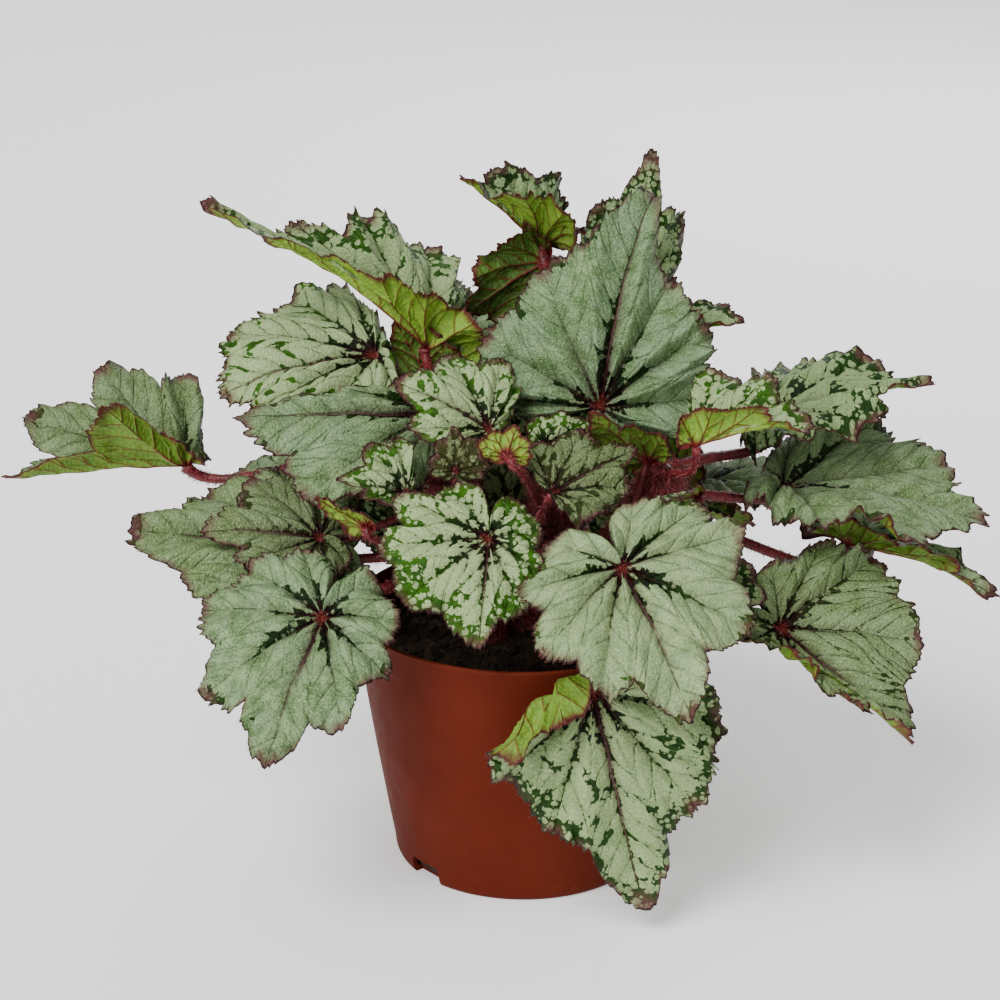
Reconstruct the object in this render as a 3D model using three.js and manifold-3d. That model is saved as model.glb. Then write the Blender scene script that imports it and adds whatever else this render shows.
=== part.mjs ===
// A rex begonia in a plastic nursery pot: a tapered pot with drainage slots in its foot, a fill of
// soil, three hairy stems that stand in holes in the soil and carry a leaf stalk for each leaf, and
// the lobed, toothed leaf blades. Millimetres, +Z up, origin at the middle of the pot's flat
// underside, and the side of the plant that is seen first looks towards -Y.
import * as THREE from 'three';
import { mergeVertices } from 'three/addons/utils/BufferGeometryUtils.js';
import Module from 'manifold-3d';

const wasm = await Module();
wasm.setup();

// ---- driving dimensions ----
const GAP = 0.3;                 // clearance between pieces that touch on the real plant
const POT_HEIGHT = 93;
const RIM_RADIUS = 60;
const FOOT_RADIUS = 46;
const FOOT_ROUND = 5;            // height of the rounded edge under the wall
const FOOT_ROUND_SHARE = 0.3;    // the middle of that edge, as a share of its height
const FOOT_ROUND_REACH = [2, 0.6];   // how far its bottom and middle lie inside the wall
const WALL = 1.6;
const WALL_BOW = 0.12;           // how far the wall bows out, as a share of its taper
const WALL_HEIGHTS = [26, 48, 70];   // corners of the wall between its foot and its rim
const FLOOR = 2;
const FLOOR_INSET = 1;           // how far the floor's corner lies inside the wall's
const SLOT_COUNT = 3;
const SLOT_WIDTH = 14;
const SLOT_HEIGHT = 7;
const SLOT_REACH = 5;            // how far a slot cuts inwards from the foot's edge
const SLOT_TURN = THREE.MathUtils.degToRad(-139);   // direction of the first slot from +X
const POT_SIDES = 48;
const SOIL_TOP = 82;
const SOIL_SIDES = 36;
const SOIL_RINGS = [42, 30, 15];
const SOIL_SHOULDER = 3;         // width of the fall at the soil's edge
const SOIL_SETTLE = 0.4;         // extra clearance between the soil and the pot's wall
const SOIL_BUMP = 1.2;           // unevenness of the soil's surface
const SOIL_LUMP = 8;             // size of its lumps
const SOIL_LUMPS_ROUND = 3;      // lumps round the pot
const HOLE_SIDES = 12;
const STEM_RADIUS = 5.2;
const STEM_SIDES = 8;
const STEM_STEPS = 8;
const STEM_DEPTH = 9;            // how far a stem stands in the soil
const STEM_FOOT = 14;            // length of its straight foot, from the bottom of the hole
const STALK_RADIUS = 1.9;
const SLIM_STALK_RADIUS = 1.3;   // on leaves shorter than SMALL_LEAF
const STALK_SIDES = 5;
const STALK_LEAST_STEPS = 4;
const STALK_STEP = 25;
const STALK_LEAN = 0.25;         // how far a stalk leans outwards as it leaves its stem
const SMALL_LEAF = 42;
const BLADE_THICK = 0.9;
const TOOTH = 0.03;              // how far the teeth leave the lobes' outline, as a share of it

// ---- leaf outline ----
// Each lobe tip is [degrees from the midrib, reach as a share of the leaf's length]. A leaf is
// lopsided: one half carries the wide lobes and the other the narrow ones.
const WIDE_HALF = [[42, 0.86], [80, 0.78], [116, 0.68], [152, 0.58]];
const NARROW_HALF = [[34, 0.80], [66, 0.66], [102, 0.56], [146, 0.50]];
const NOTCH_SHARE = 0.81;        // a notch's reach as a share of its two lobes' mean reach
const TIP_NOTCH_SHARE = 0.76;    // the same for the two notches beside the leaf's own tip
const BASE_REACH = 0.14;         // reach of the cleft where the stalk meets the blade
const LOBE_CURVE = 0.8;          // under 1 the lobes are pointed
const CLEFT_CURVE = 3.2;
const STILL_ZONE = 0.4;          // nearer to the stalk than this share of the length, waves die out
const PLEAT_AT_EDGE = 0.35;      // pleats are this deep at the edge, as a share of their full depth
const PLEAT_GAIN = 2.2;          // how fast they deepen inwards from there
const TEETH_BETWEEN_CORNERS = 3;

// Rings of points from the edge to the stalk: [share of the reach, points between two corners].
const SMALL_RINGS = [[1, 2], [0.6, 1]];
const PLAIN_RINGS = [[1, TEETH_BETWEEN_CORNERS], [0.74, 1], [0.38, 1]];
const ROLLED_RINGS = [[1, TEETH_BETWEEN_CORNERS], [0.76, 2], [0.4, 1]];
const SHARP_BEND = 60;           // a bend of more degrees than this takes ROLLED_RINGS

// What a leaf has unless its own entry says otherwise.
const PLAIN_LEAF = {
  wide: 1,                       // which half is the wide one, seen from above with the tip away
  left: 1, right: 1,             // widths of the two halves
  back: 0.8,                     // length of the part behind the stalk
  taper: 0.12,                   // narrowing towards the tip
  lean: 0,                       // sideways curve of the midrib
  pleat: 0.02, wave: 0.05, waves: 6, dish: 0.05,
  bends: [],                     // [towards degrees, from, over, degrees up], shares of the length
  rise: 0.35, under: 0.22, behind: 0.15, sag: 0,   // how the stalk leaves the stem and arrives
  seat: 0.5,                     // room for the corner of its slanting end, as a share of it
};

// at: where the stalk meets the blade; toward: the midrib's direction; facing: the upper side's
// direction; long: from there to the tip; root: where the stalk leaves its stem.
const LEAVES = [
  { name: 'leaf_front_left', at: [-66, -58, 112], toward: [-0.32, -0.66, -0.68],
    facing: [-0.2, -0.75, 0.63], long: 54, left: 0.84, root: [-17, -6, 96] },
  { name: 'leaf_front_middle', at: [-12, -54, 138], toward: [-0.08, -0.6, -0.8],
    facing: [0, -0.75, 0.66], long: 37, left: 0.85, right: 1.3, back: 1, seat: 0.7,
    root: [-16, -6, 100] },
  { name: 'leaf_front_right', at: [31, -62, 131], toward: [0.4, -0.6, -0.67],
    facing: [0.05, -0.72, 0.69], long: 55, wide: -1, right: 1.12, back: 0.7, root: [20, -5, 98] },
  { name: 'leaf_hanging', at: [22, -66, 90], toward: [0.22, -0.05, -0.97],
    facing: [0.05, -0.98, 0.15], long: 82, taper: 0,
    lobes: [[-140, 0.36], [-98, 0.46], [-64, 0.52], [-32, 0.62], [0, 1],
      [26, 0.68], [53, 0.64], [84, 0.52], [122, 0.5]],
    bends: [[120, 0.22, 0.08, 140]], root: [2, -4, 96], rise: 0.5, under: 0.15, behind: 0.4,
    seat: 0.8 },
  { name: 'leaf_far_left', at: [-118, 14, 139], toward: [-0.97, -0.25, 0],
    facing: [0, 0, 1], long: 63, taper: 0, wave: 0.03, notch: 0.76,
    lobes: [[-146, 0.35], [-104, 0.45], [-66, 0.5], [-32, 0.58], [0, 1],
      [24, 0.96], [57, 0.8], [98, 0.64], [140, 0.4]],
    bends: [[-90, 0, 0.15, 75], [90, 0, 0.2, 52]], root: [-22, -4, 134], under: 0.2 },
  { name: 'leaf_top_left', at: [-34, 24, 179], toward: [-0.78, -0.17, 0.61],
    facing: [0.55, -0.1, 0.75], long: 94, taper: 0, back: 1,
    lobes: [[-146, 0.35], [-100, 0.32], [-62, 0.36], [-28, 0.5], [0, 1],
      [17, 0.66], [42, 0.56], [76, 0.5], [112, 0.4]],
    bends: [[-90, 0, 0.12, 100], [90, 0, 0.2, 32]], root: [-27, -2, 160] },
  { name: 'leaf_left_upper', at: [-51, 16, 178], toward: [-0.94, -0.34, -0.07],
    facing: [-0.1, -0.5, 0.85], long: 56, left: 0.55, back: 0.3,
    bends: [[0, 0.6, 0.4, -30]], root: [-27, -2, 150] },
  { name: 'leaf_left_silver', at: [-31, -9, 165], toward: [-0.99, -0.12, 0.02],
    facing: [-0.1, -0.7, 0.7], long: 67, taper: 0, back: 0.5,
    lobes: [[-140, 0.15], [-100, 0.28], [-62, 0.56], [-30, 0.82], [0, 1],
      [20, 0.5], [44, 0.28], [80, 0.18], [130, 0.15]],
    root: [-24, -3, 134] },
  { name: 'leaf_left_small', at: [-39, -40, 149], toward: [-0.9, -0.33, 0.29],
    facing: [0, -0.8, 0.6], long: 24, left: 0.4, back: 0.2, root: [-18, -5, 104],
    rise: 0.1, under: 0.1, sag: 0.8, seat: 0.8 },
  { name: 'leaf_left_middle', at: [-69, -21, 125], toward: [-0.98, -0.15, 0.16],
    facing: [-0.1, -0.6, 0.8], long: 40, left: 0.8, back: 0.6, root: [-21, -4, 124],
    under: 0.2, behind: 0.2, seat: 0.7 },
  { name: 'leaf_left_low', at: [-65, -12, 116.6], toward: [-0.99, -0.08, 0.15],
    facing: [0, -0.6, 0.8], long: 71, wide: -1, left: 0.62, right: 0.7, back: 0.3,
    root: [-19, -4, 104] },
  { name: 'leaf_top', at: [26, 4, 164], toward: [0.17, 0.22, 0.96],
    facing: [-0.05, -0.97, 0.2], long: 79, taper: 0, back: 0.5, lean: 0.1,
    lobes: [[-130, 0.36], [-100, 0.46], [-68, 0.57], [-33, 0.66], [0, 1],
      [22, 0.6], [44, 0.54], [74, 0.48], [130, 0.36]],
    bends: [[8, 0.86, 0.14, 60]], root: [14, 13, 146] },
  { name: 'leaf_top_back', at: [33, 44, 180], toward: [0.04, 0.16, 0.99],
    facing: [0, -0.95, 0.3], long: 49, left: 0.62, right: 0.42, back: 0.4,
    root: [11, 11, 134], under: 0.5 },
  { name: 'leaf_top_middle', at: [6, 44, 206], toward: [-0.64, -0.43, 0.63],
    facing: [0.1, 0.75, 0.6], long: 40, left: 0.9, right: 1.05, back: 0.3, root: [14, 13, 148] },
  { name: 'leaf_right_top_small', at: [46, 28, 179], toward: [0.81, -0.44, 0.38],
    facing: [0, 0, 1], long: 36, wide: -1, left: 0.8, right: 0.6, back: 0.1,
    bends: [[90, 0, 0.15, 75], [-90, 0, 0.2, 35]], root: [14, 12, 142] },
  { name: 'leaf_right_upper', at: [57, -26, 160], toward: [0.9, -0.3, 0.33],
    facing: [-0.2, 0, 0.98], long: 41, wide: -1, left: 1.05, right: 0.6, back: 0.3,
    bends: [[90, 0, 0.1, 95], [-90, 0, 0.2, 35]], root: [47, -6, 140], under: 0.55 },
  { name: 'leaf_right_upper_back', at: [84, 18, 154], toward: [0.92, -0.23, 0.31],
    facing: [0, -0.15, 1], long: 60, wide: -1, left: 0.75, right: 0.7, back: 0.3,
    bends: [[-90, 0, 0.2, 12]], root: [47, -6, 140],
    rise: 0.3, under: 0.45, behind: 0 },
  { name: 'leaf_right_silver', at: [89, 0, 135], toward: [0.97, -0.2, -0.09],
    facing: [0.05, 0, 1], long: 70, taper: 0, back: 0.5,
    lobes: [[-140, 0.3], [-96, 0.4], [-58, 0.66], [-26, 0.7], [0, 1],
      [32, 0.66], [64, 0.5], [98, 0.42], [140, 0.4]],
    bends: [[-90, 0, 0.2, 38], [90, 0, 0.2, 6]], root: [42, -5, 126] },
  { name: 'leaf_right_folded', at: [111, -8, 118], toward: [0.94, -0.3, -0.19],
    facing: [0.1, 0, 0.97], long: 54, wide: -1, left: 0.55, right: 0.42, back: 0.6,
    bends: [[90, 0, 0.12, 60], [-90, 0, 0.2, 15]], root: [36, -4, 116], under: 0.35, behind: 0 },
  { name: 'leaf_right_low', at: [85, -42, 101], toward: [0.72, -0.45, -0.52],
    facing: [0.3, -0.8, 0.5], long: 58, wide: -1, left: 1.05, right: 0.5, back: 0.6,
    bends: [[90, 0, 0.12, 92]], root: [29, -3, 104] },
  { name: 'leaf_right_small', at: [61, -40, 115], toward: [0.94, -0.34, -0.07],
    facing: [0, -0.7, 0.7], long: 21, wide: -1, back: 0.5, root: [25, -3, 102] },
  { name: 'leaf_middle_yellow', at: [-6, -36, 160], toward: [0.3, 0.18, 0.94],
    facing: [0, 0.9, 0.2], long: 11, left: 1.3, right: 1.3, back: 0.6, wave: 0, root: [5, 9, 118],
    under: 0.4, behind: 0 },
  { name: 'leaf_middle_feathered', at: [-12, -18, 163], toward: [-0.87, 0.06, 0.49],
    facing: [0.1, -0.6, 0.8], long: 36, back: 0.3, root: [10, 7, 128] },
  { name: 'leaf_middle_dark', at: [-23, -36, 155], toward: [-0.02, 0.27, 0.96],
    facing: [0, -0.9, 0.4], long: 15, back: 0.5, root: [-20, -4, 114], under: 0.1, sag: 0.2,
    seat: 0.8 },
  { name: 'leaf_middle_pale', at: [7, -14, 156], toward: [0.84, 0.33, 0.42],
    facing: [0, -0.8, 0.6], long: 18, back: 0.5, root: [11, 11, 134] },
  { name: 'leaf_middle_veined', at: [9, -36, 147], toward: [0.82, 0.49, 0.3],
    facing: [-0.1, -0.65, 0.75], long: 36, wide: -1, left: 0.8, right: 0.8, back: 0.1,
    root: [7, 10, 112], under: 0.35 },
  { name: 'leaf_middle_underside', at: [42, -8, 148], toward: [-0.72, -0.21, 0.66],
    facing: [0.3, 0.7, 0.5], long: 29, left: 0.9, right: 0.8, back: 0.2, root: [34, -5, 116],
    under: 0.5, behind: 0 },
  { name: 'leaf_middle_right', at: [58, -30, 144], toward: [-0.97, -0.19, -0.17],
    facing: [0.2, 0.5, 0.8], long: 21, back: 0.15, root: [30, -5, 108], under: 0.35, behind: 0 },
  { name: 'leaf_back_left_low', at: [-62, 38, 126], toward: [-0.8, 0.6, -0.15],
    facing: [-0.2, 0.1, 1], long: 58, root: [-20, 2, 110] },
  { name: 'leaf_back_left', at: [-42, 50, 158], toward: [-0.5, 0.8, 0.05],
    facing: [0, 0.1, 1], long: 58, wide: -1, root: [-24, 0, 140] },
  { name: 'leaf_back_middle', at: [0, 66, 166], toward: [0.1, 0.95, 0.05],
    facing: [0, 0, 1], long: 58, back: 0.5, root: [10, 12, 140] },
  { name: 'leaf_back_right', at: [42, 48, 150], toward: [0.55, 0.8, -0.1],
    facing: [0, 0.1, 1], long: 56, wide: -1, back: 0.5, root: [14, 12, 130] },
  { name: 'leaf_back_right_low', at: [66, 36, 124], toward: [0.75, 0.65, -0.1],
    facing: [0, 0.1, 1], long: 58, root: [30, 2, 112], under: 0.3 },
  { name: 'leaf_back_low_left', at: [-46, 66, 110], toward: [-0.4, 0.8, -0.45],
    facing: [-0.2, 0.5, 0.8], long: 60, back: 0.6, root: [-14, 6, 98] },
  { name: 'leaf_back_low_right', at: [48, 66, 106], toward: [0.4, 0.8, -0.5],
    facing: [0.2, 0.5, 0.8], long: 60, wide: -1, back: 0.6, root: [10, 14, 98] },
  { name: 'leaf_back_hanging', at: [-2, 78, 92], toward: [0, 0.45, -0.88],
    facing: [0, 0.88, 0.45], long: 58, back: 0.4, root: [0, 14, 94] },
].map((leaf, number) => ({ ...PLAIN_LEAF, phase: 2 * number, ...leaf }));

// The three stems: each starts just above the soil, over its foot.
const STEMS = [
  { name: 'stems_left', path: [[-14, -5, 85], [-18, -5, 102], [-23, -4, 130], [-27, -2, 163]] },
  { name: 'stems_middle', path: [[0, 8, 85], [5, 10, 102], [10, 11, 128], [14, 13, 150]] },
  { name: 'stems_right', path: [[16, -6, 85], [24, -5, 102], [36, -5, 120], [50, -6, 146]] },
];

// ---- materials ----
const plastic = new THREE.MeshStandardMaterial({ color: 0x6f3122, roughness: 0.55, metalness: 0 });
const earth = new THREE.MeshStandardMaterial({ color: 0x1d1613, roughness: 1, metalness: 0 });
const crimson = new THREE.MeshStandardMaterial({ color: 0x8e2237, roughness: 0.7, metalness: 0 });
const foliage = new THREE.MeshStandardMaterial({ color: 0x9fb39a, roughness: 0.6, metalness: 0 });

// ---- solids ----
function toSolid(geometry) {
  const bare = geometry.clone();
  bare.deleteAttribute('normal');
  bare.deleteAttribute('uv');
  const merged = mergeVertices(bare, 1e-4);
  return new wasm.Manifold(new wasm.Mesh({
    numProp: 3,
    vertProperties: new Float32Array(merged.attributes.position.array),
    triVerts: new Uint32Array(merged.index.array),
  }));
}

function toGeometry(solid) {
  const mesh = solid.getMesh();
  const geometry = new THREE.BufferGeometry();
  geometry.setAttribute('position', new THREE.BufferAttribute(mesh.vertProperties, 3));
  geometry.setIndex(new THREE.BufferAttribute(mesh.triVerts, 1));
  geometry.computeVertexNormals();
  return geometry;
}

// A lathe turns about Y, so its solids are tipped up onto Z.
function lathe(points, sides) {
  const profile = points.map(([radius, height]) => new THREE.Vector2(radius, height));
  return new THREE.LatheGeometry(profile, sides).rotateX(Math.PI / 2);
}

function roundShape(radius, sides) {
  const corners = Array.from({ length: sides }, (_, corner) => {
    const turn = 2 * Math.PI * corner / sides;
    return new THREE.Vector2(radius * Math.cos(turn), radius * Math.sin(turn));
  });
  return new THREE.Shape(corners);
}

function tube(curve, radius, sides, steps) {
  return new THREE.ExtrudeGeometry(roundShape(radius, sides), { steps, extrudePath: curve });
}

// ---- pot ----
function wallRadius(height) {
  const share = (height - FOOT_ROUND) / (POT_HEIGHT - FOOT_ROUND);
  return FOOT_RADIUS + (RIM_RADIUS - FOOT_RADIUS) * (share + WALL_BOW * share * (1 - share));
}

function pot() {
  const [bottomReach, middleReach] = FOOT_ROUND_REACH;
  const outside = [FOOT_ROUND, ...WALL_HEIGHTS, POT_HEIGHT];
  const inside = [POT_HEIGHT, ...WALL_HEIGHTS.toReversed()];
  const profile = [
    [0, 0],
    [FOOT_RADIUS - bottomReach, 0],
    [FOOT_RADIUS - middleReach, FOOT_ROUND_SHARE * FOOT_ROUND],
    ...outside.map((height) => [wallRadius(height), height]),
    ...inside.map((height) => [wallRadius(height) - WALL, height]),
    [FOOT_RADIUS - WALL - FLOOR_INSET, FLOOR],
    [0, FLOOR],
  ];
  let body = toSolid(lathe(profile, POT_SIDES));
  for (let number = 0; number < SLOT_COUNT; number += 1) {
    const cutter = new THREE.BoxGeometry(2 * SLOT_REACH, SLOT_WIDTH, 2 * SLOT_HEIGHT)
      .translate(FOOT_RADIUS, 0, 0)
      .rotateZ(SLOT_TURN + 2 * Math.PI * number / SLOT_COUNT);
    body = body.subtract(toSolid(cutter));
  }
  return toGeometry(body);
}

// ---- soil ----
function soilHeight(radius, turn) {
  const round = SOIL_LUMPS_ROUND * turn;
  const outwards = radius / SOIL_LUMP;
  return SOIL_TOP + SOIL_BUMP * Math.sin(round + outwards) * Math.cos(round - outwards);
}

function soil() {
  const lowEdge = SOIL_TOP - 2 * SOIL_BUMP;
  const shoulder = wallRadius(lowEdge) - WALL - GAP - SOIL_SETTLE;
  const profile = [
    [0, FLOOR + GAP],
    [FOOT_RADIUS - WALL - FLOOR_INSET - GAP - SOIL_SETTLE, FLOOR + GAP],
    [shoulder, lowEdge],
    ...[shoulder - SOIL_SHOULDER, ...SOIL_RINGS, 0].map((radius) => [radius, SOIL_TOP]),
  ];
  const fill = lathe(profile, SOIL_SIDES);
  const places = fill.attributes.position;
  for (let corner = 0; corner < places.count; corner += 1) {
    if (places.getZ(corner) > SOIL_TOP - SOIL_BUMP) {
      const radius = Math.hypot(places.getX(corner), places.getY(corner));
      places.setZ(corner, soilHeight(radius, Math.atan2(places.getY(corner), places.getX(corner))));
    }
  }
  let body = toSolid(fill);
  const bore = STEM_RADIUS + 2 * GAP;
  for (const { path: [[x, y]] } of STEMS) {
    const hole = new THREE.CylinderGeometry(bore, bore, 2 * (STEM_DEPTH + GAP), HOLE_SIDES)
      .rotateX(Math.PI / 2)
      .translate(x, y, SOIL_TOP);
    body = body.subtract(toSolid(hole));
  }
  return toGeometry(body);
}

// ---- leaves ----
// The outline's corners in order: cleft, tip, notch, tip ... cleft, as [degrees, reach].
function outlineCorners(leaf) {
  const half = (lobes, sign) => lobes.map(([degrees, reach]) => [sign * degrees, reach]);
  const plain = leaf.wide > 0
    ? [...half(NARROW_HALF, -1).reverse(), [0, 1], ...half(WIDE_HALF, 1)]
    : [...half(WIDE_HALF, -1).reverse(), [0, 1], ...half(NARROW_HALF, 1)];
  const lobes = leaf.lobes ?? plain;
  const corners = [[-180, BASE_REACH]];
  lobes.forEach(([degrees, reach], number) => {
    if (number > 0) {
      const [before, reachBefore] = lobes[number - 1];
      const besideTip = degrees === 0 || before === 0;
      const share = (leaf.notch ?? NOTCH_SHARE) - (besideTip ? NOTCH_SHARE - TIP_NOTCH_SHARE : 0);
      corners.push([(before + degrees) / 2, share * (reachBefore + reach) / 2]);
    }
    corners.push([degrees, reach]);
  });
  corners.push([180, BASE_REACH]);
  return corners;
}

// Place on the outline: corner number plus a share of the way to the next corner.
function outlineAt(corners, place) {
  const last = corners.length - 1;
  const number = Math.min(Math.floor(place), last - 1);
  const share = place - number;
  const [degreesA, reachA] = corners[number];
  const [degreesB, reachB] = corners[number + 1];
  const fromTip = number % 2 === 1;
  const [tip, notch] = fromTip ? [reachA, reachB] : [reachB, reachA];
  const bow = number === 0 || number === last - 1 ? CLEFT_CURVE : LOBE_CURVE;
  const reach = tip - (tip - notch) * (fromTip ? share : 1 - share) ** bow;
  return { degrees: degreesA + share * (degreesB - degreesA), reach };
}

// The flat leaf with its pleats along the veins, its waved edge and its shallow dish.
function flatPoint(leaf, corners, place, share, toothed) {
  const { degrees, reach } = outlineAt(corners, place);
  const angle = THREE.MathUtils.degToRad(degrees);
  const tooth = toothed ? TOOTH * Math.cos(TEETH_BETWEEN_CORNERS * Math.PI * place) : 0;
  const size = share * reach * (1 + tooth);
  let v = size * Math.cos(angle);
  let u = size * Math.sin(angle);
  u *= (u < 0 ? leaf.left : leaf.right) * (1 - leaf.taper * Math.max(0, v));
  u += leaf.lean * Math.max(0, v) ** 3;
  v *= v < 0 ? leaf.back : 1;
  const depth = share * Math.min(1, PLEAT_AT_EDGE + PLEAT_GAIN * (1 - share));
  const pleat = leaf.pleat * depth * Math.cos(Math.PI * place);
  const clear = Math.min(1, Math.hypot(u, v) / STILL_ZONE);
  const wave = leaf.wave * clear * share ** 3 * Math.sin(leaf.waves * angle + leaf.phase);
  const dish = leaf.dish * Math.sin(Math.PI * share);
  return [u * leaf.long, v * leaf.long, (pleat + wave + dish) * leaf.long];
}

// Rolls the blade about a line across one direction, without stretching it.
function bend([u, v, w], [towards, from, over, degrees], long) {
  const angle = THREE.MathUtils.degToRad(towards);
  const turn = THREE.MathUtils.degToRad(degrees);
  const along = u * Math.sin(angle) + v * Math.cos(angle);
  const across = u * Math.cos(angle) - v * Math.sin(angle);
  const start = from * long;
  if (along <= start) return [u, v, w];
  const radius = over * long / turn;
  const rolled = Math.min(Math.abs((along - start) / radius), Math.abs(turn)) * Math.sign(turn);
  const beyond = Math.max(0, along - start - over * long);
  const place = start + (radius - w) * Math.sin(rolled) + beyond * Math.cos(rolled);
  const height = radius - (radius - w) * Math.cos(rolled) + beyond * Math.sin(rolled);
  return [
    place * Math.sin(angle) + across * Math.cos(angle),
    place * Math.cos(angle) - across * Math.sin(angle),
    height,
  ];
}

function leafAxes(leaf) {
  const midrib = new THREE.Vector3(...leaf.toward).normalize();
  const normal = new THREE.Vector3(...leaf.facing);
  normal.addScaledVector(midrib, -normal.dot(midrib)).normalize();
  return { midrib, normal, side: new THREE.Vector3().crossVectors(midrib, normal) };
}

function bladePoint(leaf, corners, axes, place, share, toothed, lift) {
  let point = flatPoint(leaf, corners, place, share, toothed);
  point[2] += lift;
  for (const roll of leaf.bends) point = bend(point, roll, leaf.long);
  return new THREE.Vector3(...leaf.at)
    .addScaledVector(axes.side, point[0])
    .addScaledVector(axes.midrib, point[1])
    .addScaledVector(axes.normal, point[2]);
}

function ringsOf(leaf) {
  if (leaf.long < SMALL_LEAF) return SMALL_RINGS;
  return leaf.bends.some(([, , , degrees]) => degrees > SHARP_BEND) ? ROLLED_RINGS : PLAIN_RINGS;
}

// Places round the leaf at even steps, from the cleft back to it.
function ringPlaces(corners, perCorner) {
  const count = (corners.length - 1) * perCorner;
  return Array.from({ length: count }, (_, step) => step / perCorner);
}

// Triangles between two rings round the leaf, each given by its places and its first point.
function stitch(outer, outerStart, inner, innerStart) {
  const triangles = [];
  const end = outer[outer.length - 1] + outer[1];
  let a = 0;
  let b = 0;
  while (a < outer.length || b < inner.length) {
    const nextA = a + 1 < outer.length ? outer[a + 1] : end;
    const nextB = b + 1 < inner.length ? inner[b + 1] : end;
    const pointA = outerStart + a % outer.length;
    const pointB = innerStart + b % inner.length;
    if (b >= inner.length || (a < outer.length && nextA <= nextB)) {
      triangles.push([pointA, pointB, outerStart + (a + 1) % outer.length]);
      a += 1;
    } else {
      triangles.push([pointA, pointB, innerStart + (b + 1) % inner.length]);
      b += 1;
    }
  }
  return triangles;
}

// Both faces carry the same triangles, and a narrow edge joins them.
function blade(leaf) {
  const corners = outlineCorners(leaf);
  const axes = leafAxes(leaf);
  const rings = ringsOf(leaf).map(([share, perCorner]) => ({
    share, perCorner, places: ringPlaces(corners, perCorner),
  }));
  const face = (lift) => [
    ...rings.flatMap(({ share, perCorner, places }) => places.map((place) => (
      bladePoint(leaf, corners, axes, place, share, perCorner === TEETH_BETWEEN_CORNERS, lift)))),
    bladePoint(leaf, corners, axes, 0, 0, false, lift),
  ];
  const upper = face(BLADE_THICK / 2);
  const lower = face(-BLADE_THICK / 2);
  const triangles = [];
  let start = 0;
  rings.slice(0, -1).forEach(({ places }, number) => {
    triangles.push(...stitch(places, start, rings[number + 1].places, start + places.length));
    start += places.length;
  });
  const innermost = rings[rings.length - 1].places.length;
  for (let step = 0; step < innermost; step += 1) {
    triangles.push([start + step, start + innermost, start + (step + 1) % innermost]);
  }
  const count = upper.length;
  const edge = rings[0].places.length;
  const index = triangles.flatMap(([a, b, c]) => [a, b, c, a + count, c + count, b + count]);
  for (let step = 0; step < edge; step += 1) {
    const next = (step + 1) % edge;
    index.push(step, next, next + count, step, next + count, step + count);
  }
  const geometry = new THREE.BufferGeometry().setFromPoints([...upper, ...lower]);
  geometry.setIndex(index);
  geometry.computeVertexNormals();
  return geometry;
}

// ---- stems and stalks ----
function nearestOnStem(stem, point) {
  const places = stem.path.map((place) => new THREE.Vector3(...place));
  const spots = places.slice(0, -1).map((place, number) => (
    new THREE.Line3(place, places[number + 1]).closestPointToPoint(point, true, new THREE.Vector3())));
  return spots.reduce((best, spot) => (
    spot.distanceTo(point) < best.distanceTo(point) ? spot : best));
}

function stemOf(leaf) {
  const root = new THREE.Vector3(...leaf.root);
  const far = (stem) => nearestOnStem(stem, root).distanceTo(root);
  return STEMS.reduce((best, stem) => (far(stem) < far(best) ? stem : best));
}

// A stalk leaves its stem upwards, and its end faces the blade's underside.
function stalk(leaf) {
  const { midrib, normal } = leafAxes(leaf);
  const radius = leaf.long < SMALL_LEAF ? SLIM_STALK_RADIUS : STALK_RADIUS;
  const root = nearestOnStem(stemOf(leaf), new THREE.Vector3(...leaf.root));
  const at = new THREE.Vector3(...leaf.at);
  const length = at.distanceTo(root);
  const arriving = new THREE.Vector3()
    .addScaledVector(normal, leaf.under)
    .addScaledVector(midrib, leaf.behind)
    .add(new THREE.Vector3(0, 0, leaf.sag));
  const slant = Math.sin(arriving.angleTo(normal));
  const end = at.clone().addScaledVector(normal, -(BLADE_THICK / 2 + GAP + leaf.seat * radius * slant));
  const level = end.clone().sub(root).setZ(0);
  const curve = new THREE.CubicBezierCurve3(
    root,
    root.clone().add(new THREE.Vector3(0, 0, leaf.rise * length)).addScaledVector(level, STALK_LEAN),
    end.clone().addScaledVector(arriving, -length),
    end,
  );
  return tube(curve, radius, STALK_SIDES, STALK_LEAST_STEPS + Math.round(length / STALK_STEP));
}

function stem({ name, path }) {
  const [[x, y]] = path;
  const curve = new THREE.CatmullRomCurve3(path.map((place) => new THREE.Vector3(...place)));
  const foot = new THREE.CylinderGeometry(STEM_RADIUS, STEM_RADIUS, STEM_FOOT, STEM_SIDES)
    .rotateX(Math.PI / 2)
    .translate(x, y, SOIL_TOP - STEM_DEPTH + STEM_FOOT / 2);
  let body = toSolid(tube(curve, STEM_RADIUS, STEM_SIDES, STEM_STEPS)).add(toSolid(foot));
  for (const leaf of LEAVES.filter((each) => stemOf(each).name === name)) {
    body = body.add(toSolid(stalk(leaf)));
  }
  return toGeometry(body);
}

// ---- the plant ----
const begonia = new THREE.Group();

function place(name, geometry, material) {
  const mesh = new THREE.Mesh(geometry, material);
  mesh.name = name;
  begonia.add(mesh);
}

place('pot', pot(), plastic);
place('soil', soil(), earth);
for (const each of STEMS) place(each.name, stem(each), crimson);
for (const leaf of LEAVES) place(leaf.name, blade(leaf), foliage);

export default begonia;
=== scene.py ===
"""Looks of a rex begonia in a plastic nursery pot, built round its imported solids. Metres, +Z up."""

import math

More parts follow.
